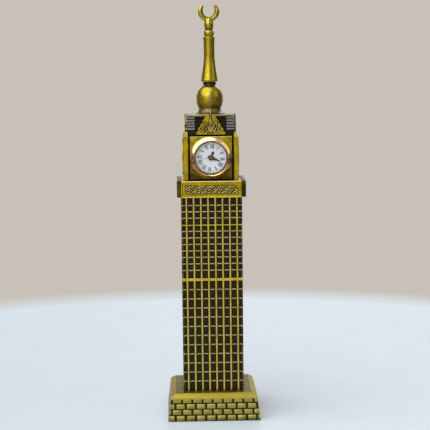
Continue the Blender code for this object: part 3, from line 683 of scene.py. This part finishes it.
def make_collar():
    (x_low, x_high), (y_low, y_high), (back, face) = side_box("collar_plaque_front")
    pitch, border, slope, sink = 0.17, 0.55, 0.35, 0.4
    xs = np.linspace(x_low, x_high, round((x_high - x_low) / pitch) + 1)
    ys = np.linspace(y_low, y_high, round((y_high - y_low) / pitch) + 1)
    x, y = np.meshgrid(xs, ys)
    inward = np.minimum(x_high - np.abs(x), np.minimum(y - y_low, y_high - y))
    ends = np.minimum(y - y_low, y_high - y)
    panel = 1 - smooth((inward - border) / slope)
    middle = (y_low + y_high) / 2 - 0.2
    distance = stroke_distance(x, y - middle, vine_strokes(16.4, 2.3))
    raised = smooth((0.40 - distance) / 0.22) * (inward > border + slope)
    edge = 0.15 * (1 - smooth(inward / 0.4))
    surface = face - sink * (1 - np.maximum(panel, 0.9 * raised)) - edge
    dark = smooth((0.95 - distance) / 0.35) * (1 - raised)
    relief = np.maximum(0.95 - 0.85 * dark, np.maximum(raised, panel))
    # Painted highlights: pale tone on the plaque's top and bottom edges; on the raised vine it is rubbed
    # tone and painted highlight.
    wear = np.maximum(0.3 * raised, 0.5 * (ends < 0.35) * (panel > 0.5))
    for side in SIDES:
        name, matrix = f"vine_plaque_{side}", side_frame(side)
        made = plate(name, xs, ys, surface, back, BRASS, matrix, relief, wear, wall=0.3)
        stand_for(made, f"collar_plaque_{side}")


def make_collar_body():
    low, high = box("collar_body")
    skirt_z, wall_half, lip_half, under, hole = 143.5, 16.9, 12.5, 151.5, 2.3
    profile = [(hole, high.z), (high.x, high.z), (high.x, skirt_z), (wall_half, skirt_z)]
    profile += [(wall_half, low.z), (lip_half, low.z), (lip_half, under), (hole, under)]
    made = square_piece("collar_casting", profile, BRASS, 0.3, 0.2, wrap=True)
    stand_for(made, "collar_body")


# ---- clock house

# Plan of a corner bar in units of half its width: chamfered outer edges, and a dark rebate beside
# each clock panel. Each point carries its relief.
BAR_PLAN = (
    (0.86, -1, 1),
    (-0.64, -1, 1),
    (-0.78, -0.86, 1),
    (-0.78, -0.2, 0.1),
    (-1, -0.2, 0.1),
    (-1, 1, 0.1),
    (0.2, 1, 0.1),
    (0.2, 0.78, 0.1),
    (0.86, 0.78, 1),
    (1, 0.64, 1),
    (1, -0.86, 1),
)


def make_pilasters():
    """Corner bars with a hipped top: its two outer slopes rise to a peak on the inner side."""
    low, high = box("pilaster_front_right")
    half = (high.x - low.x) / 2
    centre = (low + high) / 2
    neck, ridge_z = high.z - 3.4, high.z - 0.25
    x, y, tone = np.array(BAR_PLAN).T
    rings, relief, wear = [], [], []
    levels = [(1, low.z, 0), (1, neck - 0.1, 0), (1, neck, 0)]
    levels += [(0.42, ridge_z, 0.33), (0.32, high.z, 0.42)]
    for size, z, lean in levels:
        hip = z >= neck
        ring = np.column_stack([x * size - lean, y * size + lean, np.zeros(len(x))])
        rings.append(ring * half + (centre.x, centre.y, z))
        # Painted shade dims the hip's slopes, and a faint pale tone on them is painted highlight.
        relief.append(tone * (0.6 if hip else 1.0))
        wear.append(tone * (0.2 if hip else 0.0))
    for corner, degrees in CORNERS.items():
        name, matrix = f"corner_bar_{corner}", turn_z(degrees)
        made = loft(name, rings, BRASS, matrix=matrix, relief=relief, wear=wear, crease=25)
        stand_for(made, f"pilaster_{corner}")


def rectangle(half_x, low, high, count):
    """Points round a rectangle centred across the origin, starting at its lower right corner."""
    corners = np.array([(half_x, low), (half_x, high), (-half_x, high), (-half_x, low)])
    sides = zip(corners, np.roll(corners, -1, 0))
    return np.array([start + (end - start) * i / count for start, end in sides for i in range(count)])


def panel_rings(half, y, back, flange_face, face, count=28):
    """Rings of a clock panel from its raised block's edge out to its back."""
    gap, bevel = 0.55, 0.18
    edge = gap + bevel
    steps = [(edge + 0.25, face), (edge, face), (gap, face - bevel), (gap, flange_face)]
    steps += [(bevel, flange_face), (0, flange_face - bevel), (0, back)]
    rings = []
    for inset, forward in steps:
        rings.append(level_ring(rectangle(half - inset, y[0] + inset, y[1] - inset, count), forward))
    return rings


def make_clock_panels():
    """The plate with the insert's bore, and three with a rosette in the bore's place."""
    (_, x_high), (y_low, y_high), (back, face) = side_box("clock_panel_front")
    flange_face, bore, bevel = 15.9, 12.2, 0.2
    outer = panel_rings(x_high, (y_low - CLOCK_Z, y_high - CLOCK_Z), back, flange_face, face)
    rim = outer[0][:, :2]
    aim = rim / np.linalg.norm(rim, axis=1)[:, None]
    plain, zero = np.ones(len(aim)), np.zeros(len(aim))
    # Painted highlight: pale tone on the top of the raised rim. Painted shade: less relief on the lower
    # part of the plate.
    highlit_top = np.where(rim[:, 1] > 0.85 * rim[:, 1].max(), 1.0, 0.0)
    shaded_lower = smooth(0.25 - rim[:, 1] / 16)
    rim_highlights = [0.7 * highlit_top, 0.3 * highlit_top] + [zero] * 4

    rings = [level_ring(aim * bore, back), level_ring(aim * bore, face - bevel)]
    rings.append(level_ring(aim * (bore + bevel), face))
    rings += [0.5 * (rings[-1] + outer[0])] + outer
    relief = [0.4 * plain] + [0.84 - 0.5 * shaded_lower] * 5 + [1 - 0.5 * shaded_lower]
    relief += [value * plain for value in (0.1, 0.1, 0.15, 0.3)]
    wear = [zero] * 5 + rim_highlights
    made = loft("clock_wall_front", rings, BRASS, wrap=True, matrix=CLOCK, relief=relief, wear=wear)
    stand_for(made, "clock_panel_front")

    rings, relief, wear = [], [], []
    for r in np.append(np.linspace(0.02, 0.99, 44) * bore, bore + bevel):
        height, tone = rosette(r / bore, np.arctan2(aim[:, 1], aim[:, 0]))
        rings.append(level_ring(aim * r, face + 0.9 * height))
        relief.append(tone)
        wear.append(0.5 * np.clip(height * 1.6 - 0.8, 0, 1))
    rings += outer
    relief += [value * plain for value in (1, 1, 1, 0.15, 0.1, 0.2, 0.3)]
    wear += [zero] + rim_highlights
    for side in ("right", "back", "left"):
        name, matrix = f"rosette_wall_{side}", turn_z(SIDES[side]) @ CLOCK
        stand_for(loft(name, rings, BRASS, matrix=matrix, relief=relief, wear=wear), f"clock_panel_{side}")


def rosette(share, angle):
    """Height and relief of a twelve-petalled rosette in a moulded ring, at a share of its radius."""
    ring = math.exp(-(((share - 0.93) / 0.045) ** 2))
    inner_ring = 0.6 * math.exp(-(((share - 0.80) / 0.02) ** 2))
    petal_reach = 0.40 + 0.34 * np.abs(np.cos(6 * angle)) ** 0.8
    petal = 0.75 * smooth((petal_reach - share) / 0.07) * smooth((share - 0.17) / 0.06)
    petal = petal * (0.55 + 0.45 * np.abs(np.cos(6 * angle)))
    hub = 0.85 * smooth((0.15 - share) / 0.05)
    height = np.maximum(petal, max(ring, inner_ring, hub))
    return height, np.clip(0.2 + 1.7 * height, 0, 1)


# ---- belfry

FINS = 5


def make_belfry():
    """Louvred piers at the corners and a dark recess in each side, on a notched foot."""
    low, high = box("belfry_block")
    recess_half, recess_wall, pier_half, pier_z = 10.1, 12.6, 15.3, 185.5
    foot_half, notch = 14.9, 13.8
    groove, lip = 0.5, 0.12
    pitch = (high.z - pier_z) / FINS

    def pier_ring(z, cut):
        out = pier_half - cut
        edge = out - 0.35
        quarter = [(recess_half, -recess_wall), (recess_half, -out), (edge, -out), (out, -out)]
        quarter += [(out, -edge), (out, -recess_half), (recess_wall, -recess_half)]
        return four_fold(quarter, z)

    def foot_ring(z):
        quarter = [(notch, -foot_half)] * 3 + [(notch, -notch)] + [(foot_half, -notch)] * 3
        return four_fold(quarter, z)

    section = [(0.0, groove, 0.1), (0.26, groove, 0.1), (0.34, lip, 0.9)]
    section += [(0.42, 0, 1.0), (0.9, 0, 1.0), (0.98, lip, 0.8)]
    rings, tones = [foot_ring(low.z), foot_ring(pier_z)], [0.1, 0.1]
    for fin in range(FINS):
        for share, cut, tone in section:
            rings.append(pier_ring(pier_z + (fin + share) * pitch, cut))
            tones.append(tone)
    rings.append(pier_ring(high.z, groove))
    tones.append(0.2)
    relief = [np.tile(tone * np.array((0, 0.9, 0.9, 0.6, 0.9, 0.9, 0)), 4) for tone in tones]
    # Painted reflection: the fin faces take the blue-grey pale tone.
    wear = [np.tile(tone * np.array((0, 1, 1, 1, 1, 1, 0)), 4) for tone in tones]
    made = loft("louvred_belfry", rings, LOUVRES, relief=relief, wear=wear, crease=30)
    stand_for(made, "belfry_block")


def make_roof():
    low, high = box("roof_slab")
    made = square_piece("roof_plate", slab(low.z, high.z, high.x), LOUVRES, 0.3, 0.35)
    set_tone(made.data, "relief", 0.75)
    # Painted reflection: the roof takes the blue-grey pale tone.
    set_tone(made.data, "wear", 0.55)
    stand_for(made, "roof_slab")


def crest_half(share, half):
    """Half width of the crest at a share of its height: leaning sides with five lobes, a blunt tip."""
    lean = half * (1 - 0.7 * share) * math.sqrt(max(0.0, 1 - share**16))
    notch = 0.9 * (1 - abs(math.sin(5 * math.pi * share))) * (1 - 0.4 * share)
    return lean - notch * (share > 0)


def crest_strokes(low):
    """A palmette's outlines: a tall middle leaf and a shorter and a curled leaf on each side."""
    strokes = []
    leaves = [(0, 8.8, 0.95), (17, 6.6, 0.95), (-17, 6.6, 0.95), (44, 5.0, 0.9), (-44, 5.0, 0.9)]
    for turn, length, width in leaves:
        along = 1 - np.abs(1 - np.arange(25) / 12)
        swell = np.sin(math.pi * along**0.8) * np.where(np.arange(25) <= 12, 1, -1)
        leaf = turned_plan(np.column_stack([width * swell, length * along]), -turn)
        strokes.append(leaf + (0.1 * turn, low + 1.5 + 0.01 * abs(turn)))
    strokes.append([(0, low + 2), (0, low + 11.8)])
    return strokes


def make_crests():
    (_, half), (y_low, y_high), (back, face) = side_box("crest_front")
    rows, columns = 101, 81
    shares = np.linspace(0, 1, rows)
    unit = np.linspace(-1, 1, columns)
    halves = np.array([max(crest_half(share, half), 0.02) for share in shares])
    x = halves[:, None] * unit
    y = np.repeat((y_low + (y_high - y_low) * shares)[:, None], columns, 1)
    edge = np.minimum(halves[:, None] - np.abs(x), np.minimum(y - y_low, y_high - y))
    distance = stroke_distance(x, y, crest_strokes(y_low))
    raised = smooth((0.40 - distance) / 0.22) * (edge > 0.3)
    rim = smooth((0.75 - edge) / 0.2) * smooth(edge / 0.25)
    surface = face - 0.4 * (1 - np.maximum(rim, raised))
    surface = surface - 0.2 * (1 - smooth(edge / 0.2))
    dark = smooth((0.95 - distance) / 0.3) * (1 - raised)
    relief = np.maximum.reduce([0.95 - 0.9 * dark, raised, rim])
    relief = relief * (0.25 + 0.75 * smooth(edge / 0.25))
    plate_back = 15.8
    plan = rectangle(3.0, 187, 190.5, 1)
    tenon = [level_ring(plan, forward) for forward in (back, plate_back - 0.02)]
    front = np.stack([x, y, surface], -1)
    behind = np.stack([x, y, np.full(x.shape, plate_back)], -1)
    for side in SIDES:
        name, matrix = f"palmette_crest_{side}", side_frame(side)
        made = sculpted(name, front, behind, BRASS, matrix, relief, 0.3 * raised, 0.2)
        stand_for(made, f"crest_{side}")
        loft(f"crest_tenon_{side}", tenon, BRASS, matrix=matrix)


# ---- dome and finial

DOME_RIBS = 4
SEAM = 0.28  # how far a finial piece reaches into the gap above or below it


def dome_profile():
    """The CAD dome's outline with more points: a hollow skirt, then a superellipse."""
    low, high = box("onion_dome")
    waist_z, waist_r, foot_r = 199.4, 6.85, 9.6
    belly_z, belly_r, belly_reach = 205.4, 8.3, 9.3
    profile = []
    for i in range(13):
        turn = math.radians(7.5 * i)
        r = foot_r - (foot_r - waist_r) * math.sin(turn)
        profile.append((r, low.z + (waist_z - low.z) * (1 - math.cos(turn))))
    for z in np.linspace(waist_z, high.z, 35)[1:]:
        power = 2.35 if z > belly_z else 2.2
        share = abs(z - belly_z) / belly_reach
        profile.append((belly_r * (1 - share**power) ** (1 / power), z))
    return profile


def make_dome():
    rib_half, rib_rise = math.radians(2.4), 0.3
    sector = math.tau / DOME_RIBS
    ribs = np.array((-1, -0.55, 0, 0.55)) * rib_half
    offsets = np.append(ribs, np.linspace(rib_half, sector - rib_half, 21)[:-1])
    plan = circle(np.concatenate([offsets + sector * k - math.pi / 2 for k in range(DOME_RIBS)]))
    off = np.tile(np.minimum(np.abs(offsets), sector - np.abs(offsets)), DOME_RIBS)
    rib = smooth((rib_half * 1.02 - off) / (0.6 * rib_half))
    beside = smooth(np.abs(off - rib_half) / (1.4 * rib_half))
    profile = dome_profile()
    low_z, high_z = profile[0][1], profile[-1][1]
    profile = [(profile[0][0], low_z - SEAM)] + profile + [(profile[-1][0], high_z + SEAM)]
    rings, relief, wear = [], [], []
    for r, z in profile:
        fade = smooth((high_z - z) / 1.2) * smooth((z - low_z + 0.1) / 0.7)
        rings.append(level_ring((r + rib_rise * rib * fade)[:, None] * plan, z))
        skirt = 1 - smooth((z - low_z - 1.8) / 2.5)
        # Painted shade: the dome is darker towards its lower part.
        tone = np.interp(z - low_z, (2.5, 5.0, 8.5), (0.75, 0.55, 1.0))
        relief.append(np.maximum(rib, (0.4 + 0.6 * beside) * tone * (1 - 0.45 * skirt)))
        # Pale tone: painted highlight along the ribs, and greyish patina on the skirt.
        wear.append(np.maximum(0.85 * rib, 0.28 * skirt * (1 - rib)))
    stand_for(loft("ribbed_dome", rings, FINIAL, relief=relief, wear=wear), "onion_dome")


def make_spire():
    low, high = box("spire_cone")
    neck_r, foot_r, waist_r, lip_r = 4.2, 5.4, 3.45, 3.75
    neck_z, foot_z, waist_z, flare_z = low.z + 1.7, 217.3, 233, 240
    top = high.z + SEAM
    profile = [(AXIS, low.z), (neck_r, low.z), (neck_r, neck_z), (foot_r - 0.2, foot_z - 0.6)]
    for share in np.arange(16) / 16:
        r = waist_r + (foot_r - waist_r) * (1 - share) ** 1.4
        profile.append((r, foot_z + (waist_z - foot_z) * share))
    profile += [(waist_r, waist_z), (waist_r, flare_z), (lip_r - 0.15, 243.2)]
    profile += [(lip_r, 244.3), (lip_r, high.z), (lip_r - 0.4, top), (AXIS, top)]
    made = turned("turned_spire", profile, FINIAL, radius=0.25)
    # Painted shade: darker at the neck, under the cone's overhang.
    tone_by_height(made, (neck_z - 0.1, 0.15), (neck_z + 0.45, 1.0))
    stand_for(made, "spire_cone")


def make_ring_bead():
    low, high = box("ring_bead")
    top = high.z + SEAM
    bead = [(AXIS, low.z)]
    for share in np.arange(15) / 14:
        bead.append((2.6 + 0.75 * math.sin(math.pi * share), low.z + (top - low.z) * share))
    made = turned("turned_bead", bead + [(AXIS, top)], FINIAL, radius=0.12)
    foot = low.z + 0.3
    # Painted shade: darker at the bead's foot and top, where it meets its neighbours.
    tone_by_height(made, (foot, 0.3), (foot + 0.9, 1.0), (top - 0.6, 1.0), (top, 0.4))
    stand_for(made, "ring_bead")


def make_vase():
    low, high = box("vase_bead")
    belly = [(2.3, 249.6), (2.65, 250.6), (2.9, 251.8), (2.98, 253.0), (2.85, 254.2), (2.55, 255.4)]
    belly += [(2.1, 256.5), (1.3, 257.4)]
    vase = [(AXIS, low.z)] + belly + [(AXIS, high.z)]
    made = turned("turned_vase", vase, FINIAL, radius=0.4)
    # Painted shade: darker at the vase's foot.
    tone_by_height(made, (low.z + 0.2, 0.3), (low.z + 1.6, 1.0))
    stand_for(made, "vase_bead")


def tone_by_height(made, *stops):
    """Relief of a turned piece from (height, relief) stops."""
    levels = [vertex.co.z / MM for vertex in made.data.vertices]
    set_tone(made.data, "relief", np.interp(levels, *zip(*stops)))


def make_crescent():
    """A ring, open at the top, that thins towards both tips."""
    centre_z, arc_r, thick = 261.46, 5.3, 1.15
    opening, steps = math.radians(82), 72
    section = circle(math.tau * np.arange(16) / 16)
    a, b = np.copysign(np.abs(section) ** 1.2, section).T
    rings, relief = [], []
    for i in range(steps + 1):
        share = 2 * i / steps - 1
        angle = -math.pi / 2 + share * (math.pi - opening / 2)
        thin = 1 - max(0, abs(share) - 0.66) / 0.34
        wide = 0.2 + 1.4 * math.sqrt(max(0, thin))
        deep = thick * (0.45 + 0.55 * thin)
        if i in (0, steps):
            wide, deep = 0.3 * wide, 0.3 * deep
        x, z = circle(angle).T * (arc_r + a * wide)
        rings.append(np.column_stack([x, 0.8 * b * deep, centre_z + z]))
        # Painted shade: the inner half of the section, facing into the ring, is darker.
        relief.append(0.35 + 0.65 * smooth((a + 0.75) / 0.6))
    stand_for(loft("crescent_finial", rings, FINIAL, relief=relief), "crescent")


# ---- clock insert

DIAL_TILT = math.radians(-6.7)
ROMAN = ("XII", "I", "II", "III", "IIII", "V", "VI", "VII", "VIII", "IX", "X", "XI")

# Painted reflection round the bezel, as (hour, share of copper-red): copper-red at its lower sides stands
# in for the room's reflections.
BEZEL_PAINTED_REFLECTION = ((0, 0), (2.9, 0), (3.1, 0.9), (4.6, 0.75), (5.1, 0.1), (6.7, 0.1))
BEZEL_PAINTED_REFLECTION += ((7.2, 0.75), (8.5, 0.9), (9.1, 0.4), (9.4, 0), (12, 0))


def make_bezel():
    low, high = box("bezel")
    outer, back, front = high.x, -high.y, -low.y
    mouth, seat, lip, wall = 10.55, 11.65, 19.4, 18.75
    profile = [(seat, back), (outer - 0.15, back), (outer, back + 0.3), (outer, wall - 0.25)]
    for share in np.arange(11) / 10:
        bow = 0.25 * math.sin(math.pi * share) * (1 - 0.5 * share)
        profile.append((13.4 - 2.1 * share, wall + (front - wall) * share + bow))
    profile += [(11.0, front - 0.12), (mouth, front - 0.8), (mouth, lip), (seat, lip)]
    made = turned("rounded_bezel", profile, GOLD, "clock_insert", 160, CLOCK, 0.08, wrap=True)
    x, z = np.array([(v.co.x / MM, v.co.z / MM - CLOCK_Z) for v in made.data.vertices]).T
    hours = np.degrees(np.arctan2(x, z)) % 360 / 30
    # Painted shade: the inner lip is darkened with copper towards the dial.
    inside = np.interp(np.hypot(x, z), (10.7, 11.05), (0.8, 0.0))
    set_tone(made.data, "wear", np.maximum(np.interp(hours, *zip(*BEZEL_PAINTED_REFLECTION)), inside))
    stand_for(made, "bezel")


def make_crystal():
    low, high = box("lens")
    profile = slab(-high.y, -low.y, high.x)
    made = turned("flat_crystal", profile, CRYSTAL, "clock_insert", 96, CLOCK, 0.15)
    stand_for(made, "lens")


def box_stroke(start, end, width, low, high):
    """A flat bar from one point to another: its eight corners and six faces."""
    start, end = Vector(start), Vector(end)
    across = (end - start).normalized().orthogonal() * width / 2
    flat = [start - across, end - across, end + across, start + across]
    points = [(p.x, p.y, low) for p in flat] + [(p.x, p.y, high) for p in flat]
    faces = [(0, 1, 2, 3), (4, 5, 6, 7), (0, 1, 5, 4), (1, 2, 6, 5), (2, 3, 7, 6), (3, 0, 4, 7)]
    return points, faces


def numeral_strokes(text, height):
    """Strokes of a Roman numeral centred on the origin, as (start, end, width)."""
    thick, thin, half = 0.42, 0.2, height / 2
    widths = {"I": 0.66, "V": 1.25, "X": 1.25}
    left = -sum(widths[letter] for letter in text) / 2
    strokes = []
    for letter in text:
        middle, lean = left + widths[letter] / 2, widths[letter] * 0.3
        if letter == "I":
            strokes.append(((middle, -half), (middle, half), thick))
        else:
            foot = lean if letter == "X" else 0
            strokes.append(((middle - lean, half), (middle + foot, -half), thick))
            strokes.append(((middle + lean, half), (middle - foot, -half), thin))
        left += widths[letter]
    return strokes


def make_dial():
    low, high = box("dial")
    face = -low.y
    profile = slab(-high.y, face, high.x, 1.6)
    made = turned("printed_dial", profile, DIAL, "clock_insert", 96, CLOCK, 0.04, wrap=True)
    stand_for(made, "dial")
    points, faces = [], []
    printed = (face - 0.01, face + 0.02)

    def add(start, end, width, turn):
        corners, quads = box_stroke(start, end, width, *printed)
        base = len(points)
        points.extend(turn @ Vector(corner) for corner in corners)
        faces.extend(tuple(base + i for i in quad) for quad in quads)

    for hour, text in enumerate(ROMAN):
        turn = Matrix.Rotation(DIAL_TILT - math.tau * hour / 12, 4, "Z")
        outward = turn @ Matrix.Translation((0, 7.35, 0))
        for start, end, width in numeral_strokes(text, 2.7):
            add(start, end, width, outward)
    for minute in range(60):
        turn = Matrix.Rotation(DIAL_TILT - math.tau * minute / 60, 4, "Z")
        top, width = (9.5, 0.2) if minute % 5 == 0 else (9.35, 0.08)
        add((0, 9.1), (0, top), width, turn)
    build("dial_numerals", points, faces, INK, "clock_insert", CLOCK)


def make_hand(body, blade, tail, boss, thick, angle):
    """A hand pointing to twelve, then swung to its time: ridged blade and tail on a bored boss.
    blade and tail are (half width, distance) points in mm; boss is its outer and bore radius."""
    back = -box(f"{body}_hand")[1].y
    swing = CLOCK @ Matrix.Rotation(-angle, 4, "Z")
    outer, bore = boss
    top = back + 1.25 * thick
    ring = [(bore, back), (outer, back), (outer, back + thick), ((outer + bore) / 2, top), (bore, top)]
    made = turned(f"{body}_hand_boss", ring, LACQUER, body, 48, CLOCK, 0.04, wrap=True)
    stand_for(made, f"{body}_hand")
    section = ((1, 0), (1, 0.55), (0, 1), (-1, 0.55), (-1, 0))  # shares of half width, thickness
    for label, outline in (("blade", blade), ("tail", tail)):
        rings = []
        for half, y in outline:
            rings.append([(side * half, y, back + rise * thick) for side, rise in section])
        if rings:
            made = loft(f"{body}_hand_{label}", rings, LACQUER, body, matrix=swing)


HOUR_ANGLE = math.radians(21)
MINUTE_ANGLE = math.radians(110)
SECOND_ANGLE = math.radians(266)


def make_hands():
    """A spade for the hours, a lance for the minutes and a needle for the seconds."""
    spade = [(0.95, 1.5), (0.45, 2.0), (0.42, 2.2), (1.0, 2.9), (0.65, 3.6), (0.08, 4.5)]
    make_hand("hour", spade, [], (1.75, 1.4), 0.22, HOUR_ANGLE)
    lance = [(1.0, 0.85), (0.95, 1.4), (0.7, 2.6), (0.42, 4.6), (0.08, 6.4)]
    tail = [(0.2, -2.2), (0.75, -1.5), (0.9, -0.85)]
    make_hand("minute", lance, tail, (1.3, 0.78), 0.22, MINUTE_ANGLE)
    needle = [(0.1, 0.35), (0.07, 8.4), (0.01, 8.6)]
    tail = [(0.16, -2.5), (0.16, -1.0), (0.12, -0.35)]
    make_hand("second", needle, tail, (0.65, 0.3), 0.18, SECOND_ANGLE)


# ---- pieces that keep their CAD shape

KEPT = {
    "plated_steel": STEEL,
    "polished_gold": GOLD,
    "rubber_ring": RUBBER,
    "moulded_plastic": PLASTIC,
    "copper_winding": COPPER,
    "circuit_board": BOARD,
    "antique_brass": BRASS,
}


def finish_kept_nodes():
    """Gives every CAD node that is still shown the finish of its slot."""
    slots = {row["node"]: row["material_slot"] for row in frame["record"]["subparts"]}
    for name, node in frame["nodes"].items():
        if node.hide_render:
            continue
        for place in node.material_slots:
            place.material = SHADED_RING if name == "dial_ring" else KEPT[slots[name]]


# ---- stage

TABLE_R = 0.47


def table_material():
    """Pale table top that fades out towards its rim, so that it has no hard edge."""
    made = start("table")
    made.set(Base_Color=made.clouds(40, (0.53, 0.62, 0.70), (0.55, 0.64, 0.72), 2), Roughness=0.45)
    reach = made.add("ShaderNodeVectorMath", {0: made.position()}, operation="LENGTH").outputs["Value"]
    made.set(Alpha=made.spread(reach, 0.86 * TABLE_R, TABLE_R, 1.0, 0.0))
    return made.owner


def make_table():
    bm = bmesh.new()
    bmesh.ops.create_circle(bm, cap_ends=True, segments=96, radius=TABLE_R)
    mesh = bpy.data.meshes.new("table")
    bm.to_mesh(mesh)
    bm.free()
    mesh.materials.append(table_material())
    place("table", mesh)


def add_light(name, where, aim, size, power):
    lamp = bpy.data.lights.new(name, "AREA")
    lamp.shape = "RECTANGLE"
    lamp.size, lamp.size_y = size
    lamp.energy = power
    made = place(name, lamp)
    made.location = where
    made.rotation_euler = (Vector(aim) - Vector(where)).to_track_quat("-Z", "Y").to_euler()


# Brightness round the room, from behind the object (0) to the window in front of it (1).
WALLS = (
    (0.00, (0.20, 0.19, 0.18)),
    (0.10, (0.13, 0.12, 0.12)),
    (0.30, (0.14, 0.13, 0.12)),
    (0.42, (0.27, 0.24, 0.21)),
    (0.50, (0.24, 0.20, 0.16)),
    (0.53, (0.05, 0.04, 0.03)),
    (0.56, (0.28, 0.23, 0.19)),
    (0.78, (0.36, 0.31, 0.26)),
    (0.88, (0.44, 0.41, 0.38)),
    (0.955, (0.64, 0.62, 0.60)),
    (1.00, (1.05, 1.03, 1.00)),
)

# Windows and dark gaps of the room: direction, cosines where each fades in and is full, colour.
PATCHES = (
    ((-0.46, -0.38, 0.80), 0.71, 0.79, (2.6, 2.55, 2.5)),
    ((0.80, -0.38, 0.46), 0.91, 0.95, (0.95, 0.91, 0.84)),
    ((0.92, -0.38, 0.0), 0.978, 0.992, (0.04, 0.03, 0.02)),
    ((-0.92, -0.38, 0.0), 0.978, 0.992, (0.08, 0.06, 0.04)),
)


def make_world():
    """A room: brightest in front and to the left, dim at the sides, a beige wall behind, a pale ceiling."""
    made = Nodes(bpy.data.worlds.new("room"))
    direction = made.add("ShaderNodeTexCoord").outputs["Generated"]
    split = made.add("ShaderNodeSeparateXYZ", {0: direction})

    def facing(aim):
        inputs = {0: direction, 1: aim}
        return made.add("ShaderNodeVectorMath", inputs, operation="DOT_PRODUCT").outputs["Value"]

    walls = made.add("ShaderNodeValToRGB", {0: made.spread(facing((-0.40, -0.916, 0)), -1.0, 1.0)})
    ramp = walls.color_ramp
    while len(ramp.elements) < len(WALLS):
        ramp.elements.new(0.5)
    for element, (position, colour) in zip(ramp.elements, WALLS):
        element.position = position
        element.color = (*colour, 1)
    room = made.blend(made.spread(split.outputs["Y"], 0.78, 0.9), walls.outputs[0], (0.58, 0.535, 0.485))
    room = made.blend(made.spread(split.outputs["Z"], 0.45, 0.8), room, (0.50, 0.47, 0.43))
    for aim, edge, core, colour in PATCHES:
        room = made.blend(made.spread(facing(aim), edge, core), room, colour)
    made.put(made.tree.nodes["Background"].inputs["Color"], room)
    bpy.context.scene.world = made.owner


def make_lights():
    middle = (0, 0, 0.16)
    add_light("front_soft", (-0.35, -1.3, 0.85), middle, (0.9, 0.6), 2.5)
    add_light("back_rim", (0.3, 0.9, 0.6), middle, (0.8, 0.5), 1.5)


def make_camera():
    """The camera stands in front of the tower, a little left of it, and looks slightly down."""
    yaw, pitch, roll = 0.0237, 0.1176, math.radians(-0.68)
    data = bpy.data.cameras.new("camera")
    data.lens = 105.9
    data.sensor_width = 36
    data.shift_x, data.shift_y = 0.0219, 0.0105
    made = place("camera", data)
    look = Matrix.Rotation(-yaw, 4, "Z") @ Matrix.Rotation(math.pi / 2 - pitch, 4, "X")
    look = look @ Matrix.Rotation(roll, 4, "Z")
    made.matrix_world = Matrix.Translation((-0.0230, -0.8208, 0.2240)) @ look
    bpy.context.scene.camera = made
    bpy.context.scene.view_settings.view_transform = "Standard"


make_plinth()
make_felt()
make_shaft()
make_collar_body()
make_collar()
make_pilasters()
make_clock_panels()
make_belfry()
make_roof()
make_crests()
make_dome()
make_spire()
make_ring_bead()
make_vase()
make_crescent()
make_bezel()
make_crystal()
make_dial()
make_hands()
finish_kept_nodes()
make_table()
make_world()
make_lights()
make_camera()
